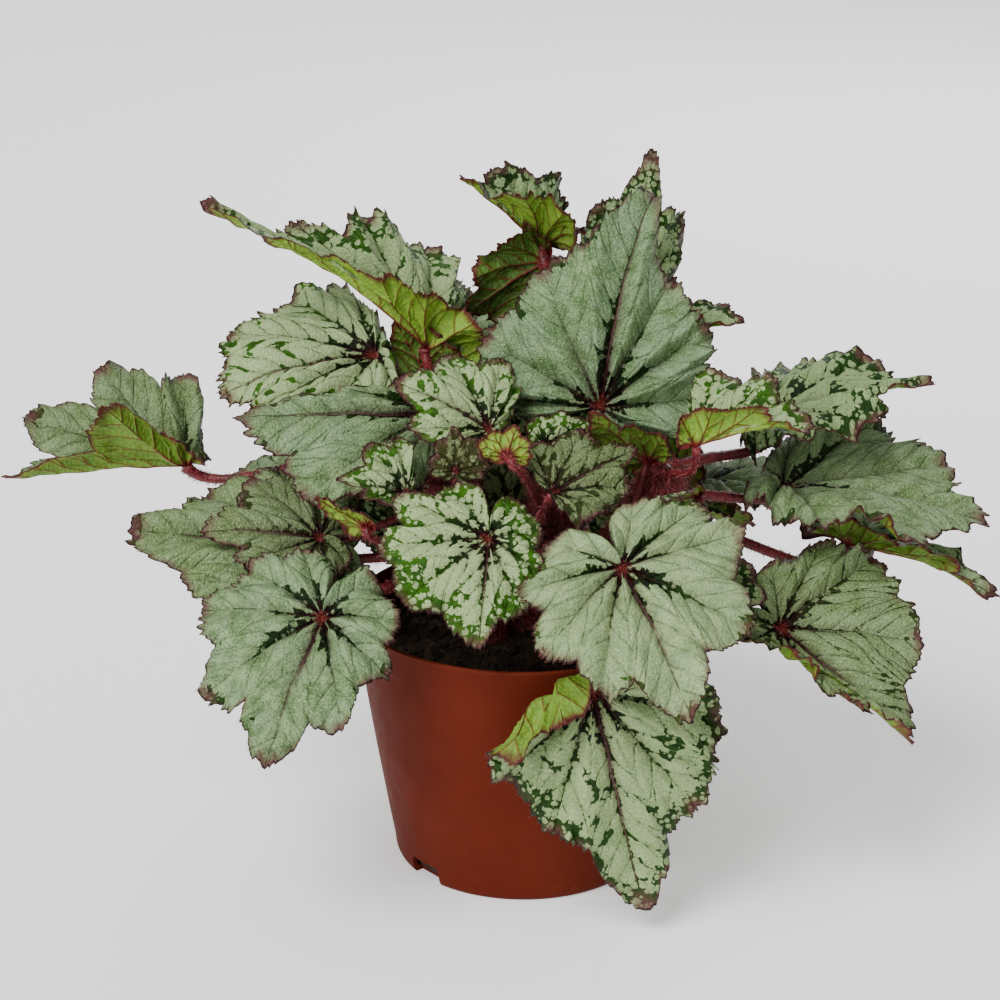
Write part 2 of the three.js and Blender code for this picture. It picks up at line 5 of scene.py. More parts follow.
import bpy
import numpy as np
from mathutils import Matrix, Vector


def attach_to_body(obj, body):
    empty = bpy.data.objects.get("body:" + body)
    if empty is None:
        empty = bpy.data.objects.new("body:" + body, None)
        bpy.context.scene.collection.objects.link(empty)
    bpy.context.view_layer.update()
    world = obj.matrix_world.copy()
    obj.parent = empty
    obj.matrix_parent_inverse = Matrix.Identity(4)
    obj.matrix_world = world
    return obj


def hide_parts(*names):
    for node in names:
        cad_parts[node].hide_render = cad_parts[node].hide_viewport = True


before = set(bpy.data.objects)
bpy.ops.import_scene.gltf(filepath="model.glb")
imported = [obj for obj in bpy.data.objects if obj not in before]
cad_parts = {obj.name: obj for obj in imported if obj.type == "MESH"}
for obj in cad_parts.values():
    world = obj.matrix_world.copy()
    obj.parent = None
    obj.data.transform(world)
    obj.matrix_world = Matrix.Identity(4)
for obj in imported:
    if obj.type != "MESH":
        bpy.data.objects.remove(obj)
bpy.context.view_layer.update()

# ---- Pot ----
# A thin nursery pot, injection moulded in matte terracotta-brown plastic: a tapered wall that bows
# out a little, a softly rounded rim, and a rounded foot with three drainage slots through its edge.
POT_HEIGHT = 0.093
RIM_RADIUS = 0.060
FOOT_RADIUS = 0.046
FOOT_ROUND = 0.005
FOOT_INSET = 0.002
WALL = 0.0016
WALL_BOW = 0.12
WALL_RINGS = 18
WALL_START = FOOT_ROUND + 0.004
FLOOR = 0.002
FLOOR_FLAT = 0.030
FLOOR_ROUND = 0.0012
POT_SIDES = 160
SLOT_TURNS = np.radians([-139, -19, 101])
SLOT_WIDTH = 0.014
SLOT_HEIGHT = 0.007
SLOT_CORNER = 0.0015
SLOT_REACH = 0.005
SLOT_BELOW = -0.002
SHARP_EDGE = math.radians(40)


def srgb(red, green, blue):
    """A colour as seen on screen, 0 to 255, as the linear colour that a shader takes."""
    return tuple(((c / 255 + 0.055) / 1.055) ** 2.4 for c in (red, green, blue)) + (1.0,)


POT_DARK, POT_BROWN = srgb(84, 27, 14), srgb(92, 32, 17)
POT_SCUFF = srgb(128, 62, 40)
POT_DUST = srgb(108, 52, 32)


def piece(name, points, *faces, smooth=True):
    """A mesh object in the row frame, from points and arrays of faces with as many corners each."""
    corners = np.concatenate([face.ravel() for face in faces])
    sizes = np.concatenate([np.full(len(face), face.shape[1]) for face in faces])
    mesh = bpy.data.meshes.new(name)
    mesh.vertices.add(len(points))
    mesh.vertices.foreach_set("co", np.asarray(points, dtype=np.float32).ravel())
    mesh.loops.add(len(corners))
    mesh.loops.foreach_set("vertex_index", corners.astype(np.int32))
    mesh.polygons.add(len(sizes))
    mesh.polygons.foreach_set("loop_start", (np.cumsum(sizes) - sizes).astype(np.int32))
    mesh.polygons.foreach_set("use_smooth", np.full(len(sizes), smooth))
    mesh.update(calc_edges=True)
    made = bpy.data.objects.new(name, mesh)
    bpy.context.scene.collection.objects.link(made)
    return made


def closed(rings, first, last):
    """Rings of points joined into a closed skin, with a fan of triangles to one point at each end.
    Gives the points, the quads between the rings and the triangles of the fans."""
    count, sides = rings.shape[:2]
    points = np.concatenate([rings.reshape(-1, 3), [first, last]])
    here = np.arange(sides)
    after = (here + 1) % sides
    start = sides * np.arange(count - 1)[:, None]
    quads = np.stack([start + here, start + after, start + sides + after, start + sides + here], axis=-1)
    end = sides * (count - 1)
    fans = np.concatenate([np.stack([after, here, 0 * here + len(points) - 2], axis=-1),
                           np.stack([end + here, end + after, 0 * here + len(points) - 1], axis=-1)])
    return points, quads.reshape(-1, 4), fans


def turned(profile, sides):
    """A profile of (radius, height), which starts and ends on the axis, turned about Z."""
    turn = np.arange(sides) * 2 * np.pi / sides
    radius, height = np.array(profile[1:-1]).T
    rings = np.stack([radius[:, None] * np.cos(turn), radius[:, None] * np.sin(turn),
                      np.broadcast_to(height[:, None], (len(radius), sides))], axis=-1)
    return closed(rings, [0, 0, profile[0][1]], [0, 0, profile[-1][1]])


def wall_radius(height):
    """The wall's outer radius: straight from foot to rim, plus a bow that is zero at both ends."""
    share = (height - FOOT_ROUND) / (POT_HEIGHT - FOOT_ROUND)
    return FOOT_RADIUS + (RIM_RADIUS - FOOT_RADIUS) * (share + WALL_BOW * share * (1 - share))


quarter = np.linspace(0, np.pi / 2, 7)
foot_edge = np.stack([FOOT_RADIUS - FOOT_INSET + FOOT_INSET * np.sin(quarter),
                      FOOT_ROUND * (1 - np.cos(quarter))], axis=-1)
wall_heights = np.linspace(WALL_START, POT_HEIGHT - WALL, WALL_RINGS)
outer_wall = np.stack([wall_radius(wall_heights), wall_heights], axis=-1)
lip = np.linspace(0, np.pi, 9)[1:-1]
rim_edge = np.stack([RIM_RADIUS - WALL / 2 + WALL / 2 * np.cos(lip),
                     POT_HEIGHT - WALL / 2 + WALL / 2 * np.sin(lip)], axis=-1)
inner_wall = outer_wall[::-1] - [WALL, 0]
floor_edge = FOOT_RADIUS - WALL - FLOOR_ROUND
pot_profile = [(0, 0), (FLOOR_FLAT, 0), *foot_edge, *outer_wall, *rim_edge, *inner_wall,
               (floor_edge + 2 / 3 * FLOOR_ROUND, FLOOR + FLOOR_ROUND), (floor_edge, FLOOR),
               (FLOOR_FLAT, FLOOR), (0, FLOOR)]
pot = piece("nursery_pot", *turned(pot_profile, POT_SIDES))

# The slots: one prism with rounded upper corners for each, taken out of the foot's edge.
corner = np.linspace(0, np.pi / 2, 6)
half_width = SLOT_WIDTH / 2 - SLOT_CORNER
top_line = SLOT_HEIGHT - SLOT_CORNER
arch = np.concatenate([
    [[SLOT_WIDTH / 2, SLOT_BELOW]],
    np.stack([half_width + SLOT_CORNER * np.cos(corner), top_line + SLOT_CORNER * np.sin(corner)], -1),
    np.stack([-half_width - SLOT_CORNER * np.sin(corner), top_line + SLOT_CORNER * np.cos(corner)], -1),
    [[-SLOT_WIDTH / 2, SLOT_BELOW]],
])
out = np.repeat([FOOT_RADIUS - SLOT_REACH, FOOT_RADIUS + SLOT_REACH], len(arch))
across, up = np.tile(arch, (2, 1)).T
slot_points, slot_faces = [], []
for number, turn in enumerate(SLOT_TURNS):
    slot_points.append(np.stack([out * np.cos(turn) - across * np.sin(turn),
                                 out * np.sin(turn) + across * np.cos(turn), up], axis=-1))
    inner = np.arange(len(arch)) + 2 * len(arch) * number
    after = np.roll(inner, -1)
    slot_faces += [np.stack([inner, after, after + len(arch), inner + len(arch)], axis=-1),
                   inner[::-1][None, :], inner[None, :] + len(arch)]
slots = piece("slots", np.concatenate(slot_points), *slot_faces, smooth=False)
cut = pot.modifiers.new("slots", "BOOLEAN")
cut.object = slots
cut.solver = "EXACT"
pot_mesh = bpy.data.meshes.new_from_object(pot.evaluated_get(bpy.context.evaluated_depsgraph_get()))
pot.modifiers.clear()
pot.data = pot_mesh
pot_mesh.set_sharp_from_angle(angle=SHARP_EDGE)
bpy.data.objects.remove(slots)


class Field:
    """A number or colour that changes over a surface: one output of a shader node. Sums, products
    and the like of fields, or of a field and a number, are Math nodes in the same tree."""

    def __init__(self, tree, socket):
        """The field of one output socket."""
        self.tree, self.socket = tree, socket

    def __add__(self, other):
        """The field plus other."""
        return calc("ADD", self, other)

    def __sub__(self, other):
        """The field less other."""
        return calc("SUBTRACT", self, other)

    def __rsub__(self, other):
        """A number less the field."""
        return calc("SUBTRACT", other, self)

    def __mul__(self, other):
        """The field times other."""
        return calc("MULTIPLY", self, other)

    def __truediv__(self, other):
        """The field over other."""
        return calc("DIVIDE", self, other)

    def __abs__(self):
        """The field without its sign."""
        return calc("ABSOLUTE", self)

    __radd__, __rmul__ = __add__, __mul__


def outputs(tree, kind, inputs=None, **settings):
    """Adds a node with its settings, fills its inputs, by name or number, with fields or values, and
    gives the fields of its outputs, by name and by number."""
    made = tree.nodes.new(kind)
    for name, value in settings.items():
        setattr(made, name, value)
    for key, value in (inputs or {}).items():
        if isinstance(value, Field):
            tree.links.new(value.socket, made.inputs[key])
        else:
            made.inputs[key].default_value = value
    fields = [Field(tree, socket) for socket in made.outputs]
    return {**{field.socket.name: field for field in fields}, **dict(enumerate(fields))}


def calc(operation, *values):
    """The result of one Math node on fields and numbers."""
    tree = next(value.tree for value in values if isinstance(value, Field))
    return outputs(tree, "ShaderNodeMath", dict(enumerate(values)), operation=operation)[0]


def smooth(value, low, high, to_low=0.0, to_high=1.0):
    """value eased from to_low at low to to_high at high, and held beyond both."""
    return outputs(value.tree, "ShaderNodeMapRange",
                   {"Value": value, "From Min": low, "From Max": high, "To Min": to_low, "To Max": to_high},
                   interpolation_type="SMOOTHSTEP")["Result"]


def mix(share, first, second):
    """Two colours mixed by share. A Mix node has sockets for each type, so they go by number."""
    return outputs(share.tree, "ShaderNodeMix", {0: share, 6: first, 7: second}, data_type="RGBA")[2]


def painted(colour, *coats):
    """A colour with coats laid over it in turn, each given as its cover, 0 to 1, and its colour."""
    for cover, coat in coats:
        colour = mix(cover, colour, coat)
    return colour


def noise(vector, scale, detail=3.0, rough=0.55):
    """A Noise Texture's value, about 0.5 in the middle."""
    return outputs(vector.tree, "ShaderNodeTexNoise",
                   {"Vector": vector, "Scale": scale, "Detail": detail, "Roughness": rough})["Fac"]


def bump(height, strength, distance):
    """The normal of a surface whose relief is height times distance, in metres."""
    return outputs(height.tree, "ShaderNodeBump",
                   {"Height": height, "Strength": strength, "Distance": distance})[0]


def surface(name, **constants):
    """A new material with one Principled BSDF, its tree and that shader, constants set on it."""
    material = bpy.data.materials.new(name)
    material.use_nodes = True
    tree = material.node_tree
    shader = next(each for each in tree.nodes if each.type == "BSDF_PRINCIPLED")
    for key, value in constants.items():
        shader.inputs[key.replace("_", " ")].default_value = value
    return material, tree, shader


def attach(shader, **fields):
    """Links fields to the shader's own sockets."""
    for key, value in fields.items():
        value.tree.links.new(value.socket, shader.inputs[key.replace("_", " ")])


def place_on(tree):
    """The place on the object, in metres."""
    return outputs(tree, "ShaderNodeTexCoord")["Object"]


def height_at(place):
    """The height of a place."""
    return outputs(place.tree, "ShaderNodeSeparateXYZ", {0: place})["Z"]


plastic, tree, shader = surface("pot_plastic", Specular_IOR_Level=0.05)
where = place_on(tree)
height = height_at(where)
cloud = noise(where, 26, 4)
splash = noise(where, 130, 5, 0.7)
grain = noise(where, 2600, 2)
rim_wear = 0.35 * smooth(height, 0.0912, 0.0929) * smooth(cloud, 0.42, 0.6, 0.4, 1.0)
dust = smooth(splash, 0.55, 0.7) * smooth(height, 0.030, 0.0, 0.0, 0.22)
brown = painted(mix(smooth(cloud, 0.35, 0.68), POT_DARK, POT_BROWN), (rim_wear, POT_SCUFF), (dust, POT_DUST))
attach(shader, Base_Color=brown, Normal=bump(0.4 * grain + cloud, 0.10, 0.0004),
       Roughness=smooth(splash, 0.3, 0.7, 0.52, 0.64))
pot.data.materials.append(plastic)
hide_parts("pot")
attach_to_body(pot, "root")

# ---- Soil ----
# Dark, moist peat filled to a finger's width under the rim: a lumpy surface that falls away at the
# pot's wall, scattered with crumbs and a few pale fibres.
SOIL_TOP = 0.082
SOIL_GAP = 0.0006
SOIL_SIDES = 150
SOIL_RINGS = 60
LUMP_HEIGHT = 0.0028
EDGE_DIP = 0.0015
EDGE_DIP_WIDTH = 0.006
CRUMBS = 2600
CRUMB_SIZE = 0.0006
PEAT_DARK, PEAT = srgb(24, 17, 13), srgb(62, 45, 33)
PEAT_FIBRE = srgb(112, 84, 58)
FIBRE_TURN = (0.3, 0.2, 0.8)
FIBRE_SCALE = (900, 160, 500)


def lumps(x, y):
    """Uneven ground: a sum of sine waves that run in drawn directions, the short ones lower."""
    draw = np.random.default_rng(5)
    pitch = np.geomspace(160, 900, 14)
    way = draw.uniform(0, 2 * np.pi, 14)
    start = draw.uniform(0, 2 * np.pi, 14)
    waves = np.sin(pitch * (x[..., None] * np.cos(way) + y[..., None] * np.sin(way)) + start)
    return LUMP_HEIGHT * (waves / pitch ** 0.7).sum(-1) / (1 / pitch ** 0.7).sum()


soil_edge = wall_radius(SOIL_TOP) - WALL - SOIL_GAP
soil_floor = FLOOR + SOIL_GAP / 2
soil_heights = np.linspace(0.005, SOIL_TOP - 0.002, 12)
soil_profile = [(0, soil_floor), (FOOT_RADIUS - WALL - 0.002, soil_floor),
                *np.stack([wall_radius(soil_heights) - WALL - SOIL_GAP, soil_heights], -1),
                *[(radius, SOIL_TOP) for radius in np.linspace(soil_edge - 0.001, 0.001, SOIL_RINGS)],
                (0, SOIL_TOP)]
ground, *ground_faces = turned(soil_profile, SOIL_SIDES)
on_top = ground[:, 2] > SOIL_TOP - 0.0001
inwards = np.clip((soil_edge - np.hypot(ground[:, 0], ground[:, 1])) / EDGE_DIP_WIDTH, 0, 1)
ground[:, 2] += on_top * (lumps(ground[:, 0], ground[:, 1]) - EDGE_DIP * (1 - inwards) ** 2)
soil = piece("soil_fill", ground, *ground_faces)

# The crumbs: octahedra of drawn sizes, each with its corners shifted by chance.
octahedron = np.array([[1, 0, 0], [0, 1, 0], [-1, 0, 0], [0, -1, 0], [0, 0, 1], [0, 0, -1]], float)
octahedron_faces = np.array([[0, 1, 4], [1, 2, 4], [2, 3, 4], [3, 0, 4],
                             [1, 0, 5], [2, 1, 5], [3, 2, 5], [0, 3, 5]])
chance = np.random.default_rng(17)
crumb_turn = chance.uniform(0, 2 * np.pi, CRUMBS)
crumb_reach = (soil_edge - 0.002) * np.sqrt(chance.uniform(0, 1, CRUMBS))
crumb_x, crumb_y = crumb_reach * np.cos(crumb_turn), crumb_reach * np.sin(crumb_turn)
crumb_size = CRUMB_SIZE * chance.lognormal(0, 0.45, CRUMBS)
crumb_points = (octahedron + chance.normal(0, 0.28, (CRUMBS, 6, 3))) * crumb_size[:, None, None]
crumb_height = SOIL_TOP + lumps(crumb_x, crumb_y) + 0.3 * crumb_size
crumb_points += np.stack([crumb_x, crumb_y, crumb_height], -1)[:, None]
crumb_faces = octahedron_faces + 6 * np.arange(CRUMBS)[:, None, None]
crumbs = piece("soil_crumbs", crumb_points.reshape(-1, 3), crumb_faces.reshape(-1, 3), smooth=False)

peat, tree, shader = surface("peat", Roughness=0.92, Specular_IOR_Level=0.25)
where = place_on(tree)
patch = noise(where, 160, 5, 0.65)
stretched = outputs(tree, "ShaderNodeMapping",
                    {"Vector": where, "Rotation": FIBRE_TURN, "Scale": FIBRE_SCALE})[0]
fibre = noise(stretched, 1.0, 2.0, 0.5)
peat_colour = painted(mix(smooth(patch, 0.35, 0.7), PEAT_DARK, PEAT),
                      (smooth(fibre, 0.66, 0.74, 0.0, 0.5), PEAT_FIBRE))
attach(shader, Base_Color=peat_colour, Normal=bump(noise(where, 700, 4, 0.7), 0.8, 0.0008))
for each in (soil, crumbs):
    each.data.materials.append(peat)
    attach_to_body(each, "root")
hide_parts("soil")

# ---- Leaf blades ----
# Thin, lopsided begonia leaves. Each is a fan of pointed lobes round the spot where its stalk meets
# it, with veins to every lobe's tip, a toothed and crinkled edge, and often a half that is rolled up
# to show its lime-green underside. Frosted silver on top, with green and purple along the veins.
WIDE_HALF = [[42, 0.86], [80, 0.78], [116, 0.68], [152, 0.58]]
NARROW_HALF = [[34, 0.80], [66, 0.66], [102, 0.56], [146, 0.50]]
NOTCH_SHARE = 0.81
FULLER = 0.06
TIP_NOTCH_DEEPER = 0.05
BASE_REACH = 0.14
LOBE_CURVE = 1.7
CLEFT_CURVE = 3.2
LOBE_TURN, LOBE_STRETCH = 3, 0.05
TOOTH_HEIGHT = 0.056
SMALL_LOBE_HEIGHT = 0.055
EDGE_UNEVEN = 0.006
EDGE_INSET = 0.022
STILL_ZONE = 0.4
CRINKLES = [(0.040, 4, 13, 4), (0.028, 8, 31, 7), (0.008, 14, 80, 12)]
SEAM_PUFF, VEIN_PUFF = 0.075, 0.060
SWELLS = [(0.050, 0.75, 51), (0.014, 2.6, 71)]
BLADE_THICK = 0.00055
THIN_AT_EDGE = 0.45
VEIN_SPACING = 0.80
VEIN_SHRINK = 0.64
FORK_AWAY, FORK_SLOPE, FORK_MOST = 0.55, 0.4, 0.25
FINE_COLUMNS, FEW_COLUMNS = 24, 12
SMALL_LEAF = 30

# A leaf's sizes. at: where the stalk meets the blade; toward: the midrib's direction; facing: the
# upper side's direction; long: from there to the tip, in millimetres; root: where the stalk leaves
# its stem. lobes: each lobe's degrees from the midrib and its reach, from left to right, or None for
# the plain outline, whose wide half is on the right (wide=1) or the left (wide=-1). left, right and
# back: how wide the halves and how long the part behind the stalk are. taper and lean: narrower, and
# bent sideways, towards the tip. notch: the notches' reach. point: the tip's sharpness. pleat: the
# height of the folds along the veins. wave: the height of the edge's waves; waves: how many go round
# the leaf. dish: the whole blade's hollow. bends: rolled parts, each as its direction, start and
# length as shares of long, and degrees. rise, under, behind, sag: how the stalk leaves its stem and
# arrives. silver: how much of the top is silver. lime: a dark olive underside, partly painted shade,
# to a lime one, partly painted light shining through the blade. pale: a khaki top to a pale one.
PLAIN_LEAF = dict(wide=1, left=1, right=1, back=0.8, taper=0.12, lean=0, notch=NOTCH_SHARE, lobes=None,
                  point=1.2, pleat=0.02, wave=0.05, waves=6, dish=0.05, bends=[], rise=0.35, under=0.22,
                  behind=0.15, sag=0, silver=0.9, lime=0.5, pale=0.5)


def one_leaf(name, at, toward, facing, long, root, **others):
    """One leaf: the plain leaf with its own place, sizes and looks."""
    return {**PLAIN_LEAF, "name": name, "at": at, "toward": toward, "facing": facing, "long": long,
            "root": root, **others}


LEAVES = [
    one_leaf("leaf_front_left", (-66, -58, 112), (-0.32, -0.66, -0.68), (-0.2, -0.75, 0.63), 54,
             (-17, -6, 96), left=0.84, silver=1),
    one_leaf("leaf_front_middle", (-12, -54, 138), (-0.08, -0.6, -0.8), (0, -0.75, 0.66), 37,
             (-16, -6, 100), left=0.85, right=1.3, back=1, silver=0.45, pale=0.9),
    one_leaf("leaf_front_right", (31, -62, 131), (0.4, -0.6, -0.67), (0.05, -0.72, 0.69), 55,
             (20, -5, 98), wide=-1, right=1.12, back=0.7, silver=1, pale=0.8, pleat=0.035),
    one_leaf("leaf_hanging", (22, -66, 90), (0.22, -0.05, -0.97), (0.05, -0.98, 0.15), 82, (2, -4, 96),
             lobes=[[-140, 0.36], [-98, 0.46], [-64, 0.54], [-28, 0.68], [0, 1], [28, 0.64], [58, 0.53],
             [92, 0.49], [132, 0.38]], taper=0, notch=0.85, point=1.5, wave=0.03, dish=0.005,
             bends=[[150, 0.09, 0.09, 140]], rise=0.5, under=0.15, behind=0.4, silver=0.46, lime=0.65,
             pale=0.65),
    one_leaf("leaf_far_left", (-118, 14, 139), (-0.97, -0.25, 0), (0, 0, 1), 63, (-22, -4, 134),
             lobes=[[-146, 0.14], [-108, 0.15], [-72, 0.24], [-43, 0.64], [0, 1], [28, 0.92], [60, 0.8],
             [98, 0.62], [140, 0.2]], taper=0, wave=0.03, dish=0.03, notch=0.68,
             bends=[[-90, 0, 0.1, 82], [90, 0, 0.2, 52]], under=0.2, silver=0.95, lime=0.5, pale=-0.25),
    one_leaf("leaf_top_left", (-34, 24, 179), (-0.78, -0.17, 0.61), (0.55, -0.1, 0.75), 94,
             (-27, -2, 160), lobes=[[-146, 0.32], [-100, 0.26], [-62, 0.29], [-28, 0.4], [0, 1],
             [17, 0.66], [42, 0.56], [76, 0.5], [112, 0.4]], taper=0, back=1,
             bends=[[-90, 0, 0.12, 100], [90, 0, 0.2, 32]], silver=0.15, lime=0.9, pale=0.75),
    one_leaf("leaf_left_upper", (-51, 16, 178), (-0.94, -0.34, -0.07), (-0.1, -0.5, 0.85), 56,
             (-27, -2, 150), lobes=[[-146, 0.4], [-100, 0.6], [-62, 0.78], [-28, 0.93], [0, 1],
             [28, 0.96], [60, 0.82], [100, 0.62], [146, 0.45]], left=0.6, back=0.3, point=2.2, notch=0.9,
             bends=[[0, 0.6, 0.4, -30]], silver=0.74, pale=1),
    one_leaf("leaf_left_silver", (-31, -9, 165), (-0.99, -0.12, 0.02), (-0.1, -0.7, 0.7), 67,
             (-24, -3, 134), lobes=[[-140, 0.15], [-100, 0.28], [-62, 0.56], [-30, 0.82], [0, 1],
             [20, 0.5], [44, 0.28], [80, 0.18], [130, 0.15]], taper=0, back=0.5, silver=0.95, pale=-0.1),
    one_leaf("leaf_left_small", (-39, -40, 149), (-0.9, -0.33, 0.29), (0, -0.8, 0.6), 24, (-18, -5, 104),
             left=0.4, back=0.2, rise=0.1, under=0.1, sag=0.8, silver=0.6, pale=0.9),
    one_leaf("leaf_left_middle", (-69, -21, 125), (-0.98, -0.15, 0.16), (-0.1, -0.6, 0.8), 40,
             (-21, -4, 124), left=0.8, back=0.6, under=0.2, behind=0.2, silver=0.93, pale=-0.62),
    one_leaf("leaf_left_low", (-65, -12, 116.6), (-0.99, -0.08, 0.15), (0, -0.6, 0.8), 70, (-19, -4, 104),
             wide=-1, left=0.68, right=0.75, back=0.3, point=2.2, notch=0.9, silver=0.94, pale=-0.3,
             pleat=0.05),
    one_leaf("leaf_top", (26, 4, 164), (0.15, 0.22, 0.96), (-0.05, -0.97, 0.2), 79, (14, 13, 146),
             lobes=[[-130, 0.36], [-100, 0.46], [-66, 0.57], [-33, 0.64], [0, 1], [22, 0.6], [44, 0.56],
             [74, 0.48], [130, 0.36]], taper=0, back=0.5, lean=0.1, notch=0.92,
             bends=[[10, 0.84, 0.16, -60]], silver=0.94, pale=0.15, pleat=0.045),
    one_leaf("leaf_top_back", (33, 44, 180), (0.2, 0.16, 0.96), (0, -0.95, 0.3), 63, (11, 11, 134),
             left=0.62, right=0.44, back=0.4, bends=[[-25, 0.86, 0.07, 95]], under=0.5, silver=0.25,
             lime=0.1),
    one_leaf("leaf_top_middle", (6, 44, 210), (-0.64, -0.43, 0.63), (0.1, 0.75, 0.6), 44, (14, 13, 148),
             left=0.8, right=0.85, back=0.3, bends=[[90, 0, 0.12, 120]], silver=0.6, lime=0.9),
    one_leaf("leaf_right_top_small", (46, 28, 179), (0.81, -0.44, 0.38), (0, 0, 1), 36, (14, 12, 142),
             wide=-1, left=0.8, right=0.6, back=0.1, bends=[[90, 0, 0.15, 75], [-90, 0, 0.2, 35]],
             silver=0.6, lime=0.5),
    one_leaf("leaf_right_upper", (57, -26, 160), (0.9, -0.3, 0.33), (-0.2, 0, 0.98), 41, (47, -6, 140),
             wide=-1, left=1.05, right=0.6, back=0.3, bends=[[90, 0, 0.1, 95], [-90, 0, 0.2, 35]],
             under=0.55, silver=0.5, lime=0.75, pale=1),
    one_leaf("leaf_right_upper_back", (84, 18, 154), (0.92, -0.23, 0.31), (0, -0.15, 1), 60,
             (47, -6, 140), wide=-1, left=0.75, right=0.7, back=0.3, bends=[[-90, 0, 0.2, 12]], rise=0.3,
             under=0.45, behind=0, silver=0.3, lime=0.3, pale=0.1),
    one_leaf("leaf_right_silver", (89, 0, 135), (0.97, -0.2, -0.09), (0.05, 0, 1), 70, (42, -5, 126),
             lobes=[[-140, 0.3], [-96, 0.4], [-58, 0.7], [-26, 0.84], [0, 1], [30, 0.78], [62, 0.56],
             [98, 0.42], [140, 0.4]], taper=0, back=0.5, notch=0.9, point=1.8,
             bends=[[-90, 0, 0.2, 38], [90, 0, 0.2, 6]], silver=0.97, pale=-0.2),
    one_leaf("leaf_right_folded", (111, -8, 118), (0.94, -0.3, -0.19), (0.1, 0, 0.97), 54, (36, -4, 116),
             wide=-1, left=0.55, right=0.42, back=0.6, bends=[[90, 0, 0.12, 82], [-90, 0, 0.2, 15]],
             under=0.35, behind=0, silver=0.7, lime=0.45, pale=0.2),
    one_leaf("leaf_right_low", (85, -42, 101), (0.72, -0.45, -0.52), (0.3, -0.8, 0.5), 58, (29, -3, 104),
             wide=-1, left=1.05, right=0.5, back=0.6, bends=[[80, 0.12, 0.12, 95]], silver=0.84,
             pale=-0.4),
    one_leaf("leaf_right_small", (61, -40, 115), (0.94, -0.34, -0.07), (0, -0.7, 0.7), 21, (25, -3, 102),
             wide=-1, back=0.5, silver=0.4),
    one_leaf("leaf_middle_yellow", (-6, -36, 160), (0.3, 0.18, 0.94), (0, 0.9, 0.2), 11, (5, 9, 118),
             left=1.3, right=1.3, back=0.6, wave=0, under=0.4, behind=0, silver=0.5, lime=1.2),
    one_leaf("leaf_middle_feathered", (-12, -18, 163), (-0.87, 0.06, 0.49), (0.1, -0.6, 0.8), 36,
             (10, 7, 128), back=0.3, silver=0.65, pale=1),
    one_leaf("leaf_middle_dark", (-23, -36, 155), (-0.02, 0.27, 0.96), (0, -0.9, 0.4), 15, (-20, -4, 114),
             back=0.5, under=0.1, sag=0.2, silver=0.5, pale=-1.1),
    one_leaf("leaf_middle_pale", (7, -14, 156), (0.84, 0.33, 0.42), (0, -0.8, 0.6), 18, (11, 11, 134),
             back=0.5, silver=0.6, pale=1),
    one_leaf("leaf_middle_veined", (9, -36, 147), (0.82, 0.49, 0.3), (-0.1, -0.65, 0.75), 36,
             (7, 10, 112), wide=-1, left=0.8, right=0.8, back=0.1, under=0.35, silver=0.72, pale=-0.75),
    one_leaf("leaf_middle_underside", (42, -8, 148), (-0.72, -0.21, 0.66), (0.3, 0.7, 0.5), 29,
             (34, -5, 116), left=0.9, right=0.8, back=0.2, under=0.5, behind=0, silver=0.4, lime=0.4),
    one_leaf("leaf_middle_right", (58, -30, 144), (-0.97, -0.19, -0.17), (0.2, 0.5, 0.8), 21,
             (30, -5, 108), back=0.15, under=0.35, behind=0, silver=0.4, lime=0.6),
    one_leaf("leaf_back_left_low", (-62, 38, 126), (-0.8, 0.6, -0.15), (-0.2, 0.1, 1), 58, (-20, 2, 110),
             silver=0.9),
    one_leaf("leaf_back_left", (-42, 50, 158), (-0.5, 0.8, 0.05), (0, 0.1, 1), 58, (-24, 0, 140), wide=-1,
             silver=0.6),
    one_leaf("leaf_back_middle", (0, 66, 166), (0.1, 0.95, 0.05), (0, 0, 1), 58, (10, 12, 140), back=0.5,
             silver=1),
    one_leaf("leaf_back_right", (42, 48, 150), (0.55, 0.8, -0.1), (0, 0.1, 1), 56, (14, 12, 130), wide=-1,
             back=0.5, silver=0.7),
    one_leaf("leaf_back_right_low", (66, 36, 124), (0.75, 0.65, -0.1), (0, 0.1, 1), 58, (30, 2, 112),
             under=0.3, silver=1),
    one_leaf("leaf_back_low_left", (-46, 66, 110), (-0.4, 0.8, -0.45), (-0.2, 0.5, 0.8), 60, (-14, 6, 98),
             back=0.6, silver=1),
    one_leaf("leaf_back_low_right", (48, 66, 106), (0.4, 0.8, -0.5), (0.2, 0.5, 0.8), 60, (10, 14, 98),
             wide=-1, back=0.6, silver=0.7),
    one_leaf("leaf_back_hanging", (-2, 78, 92), (0, 0.45, -0.88), (0, 0.88, 0.45), 58, (0, 14, 94),
             back=0.4, silver=0.6),
]
GROWN = len(LEAVES)
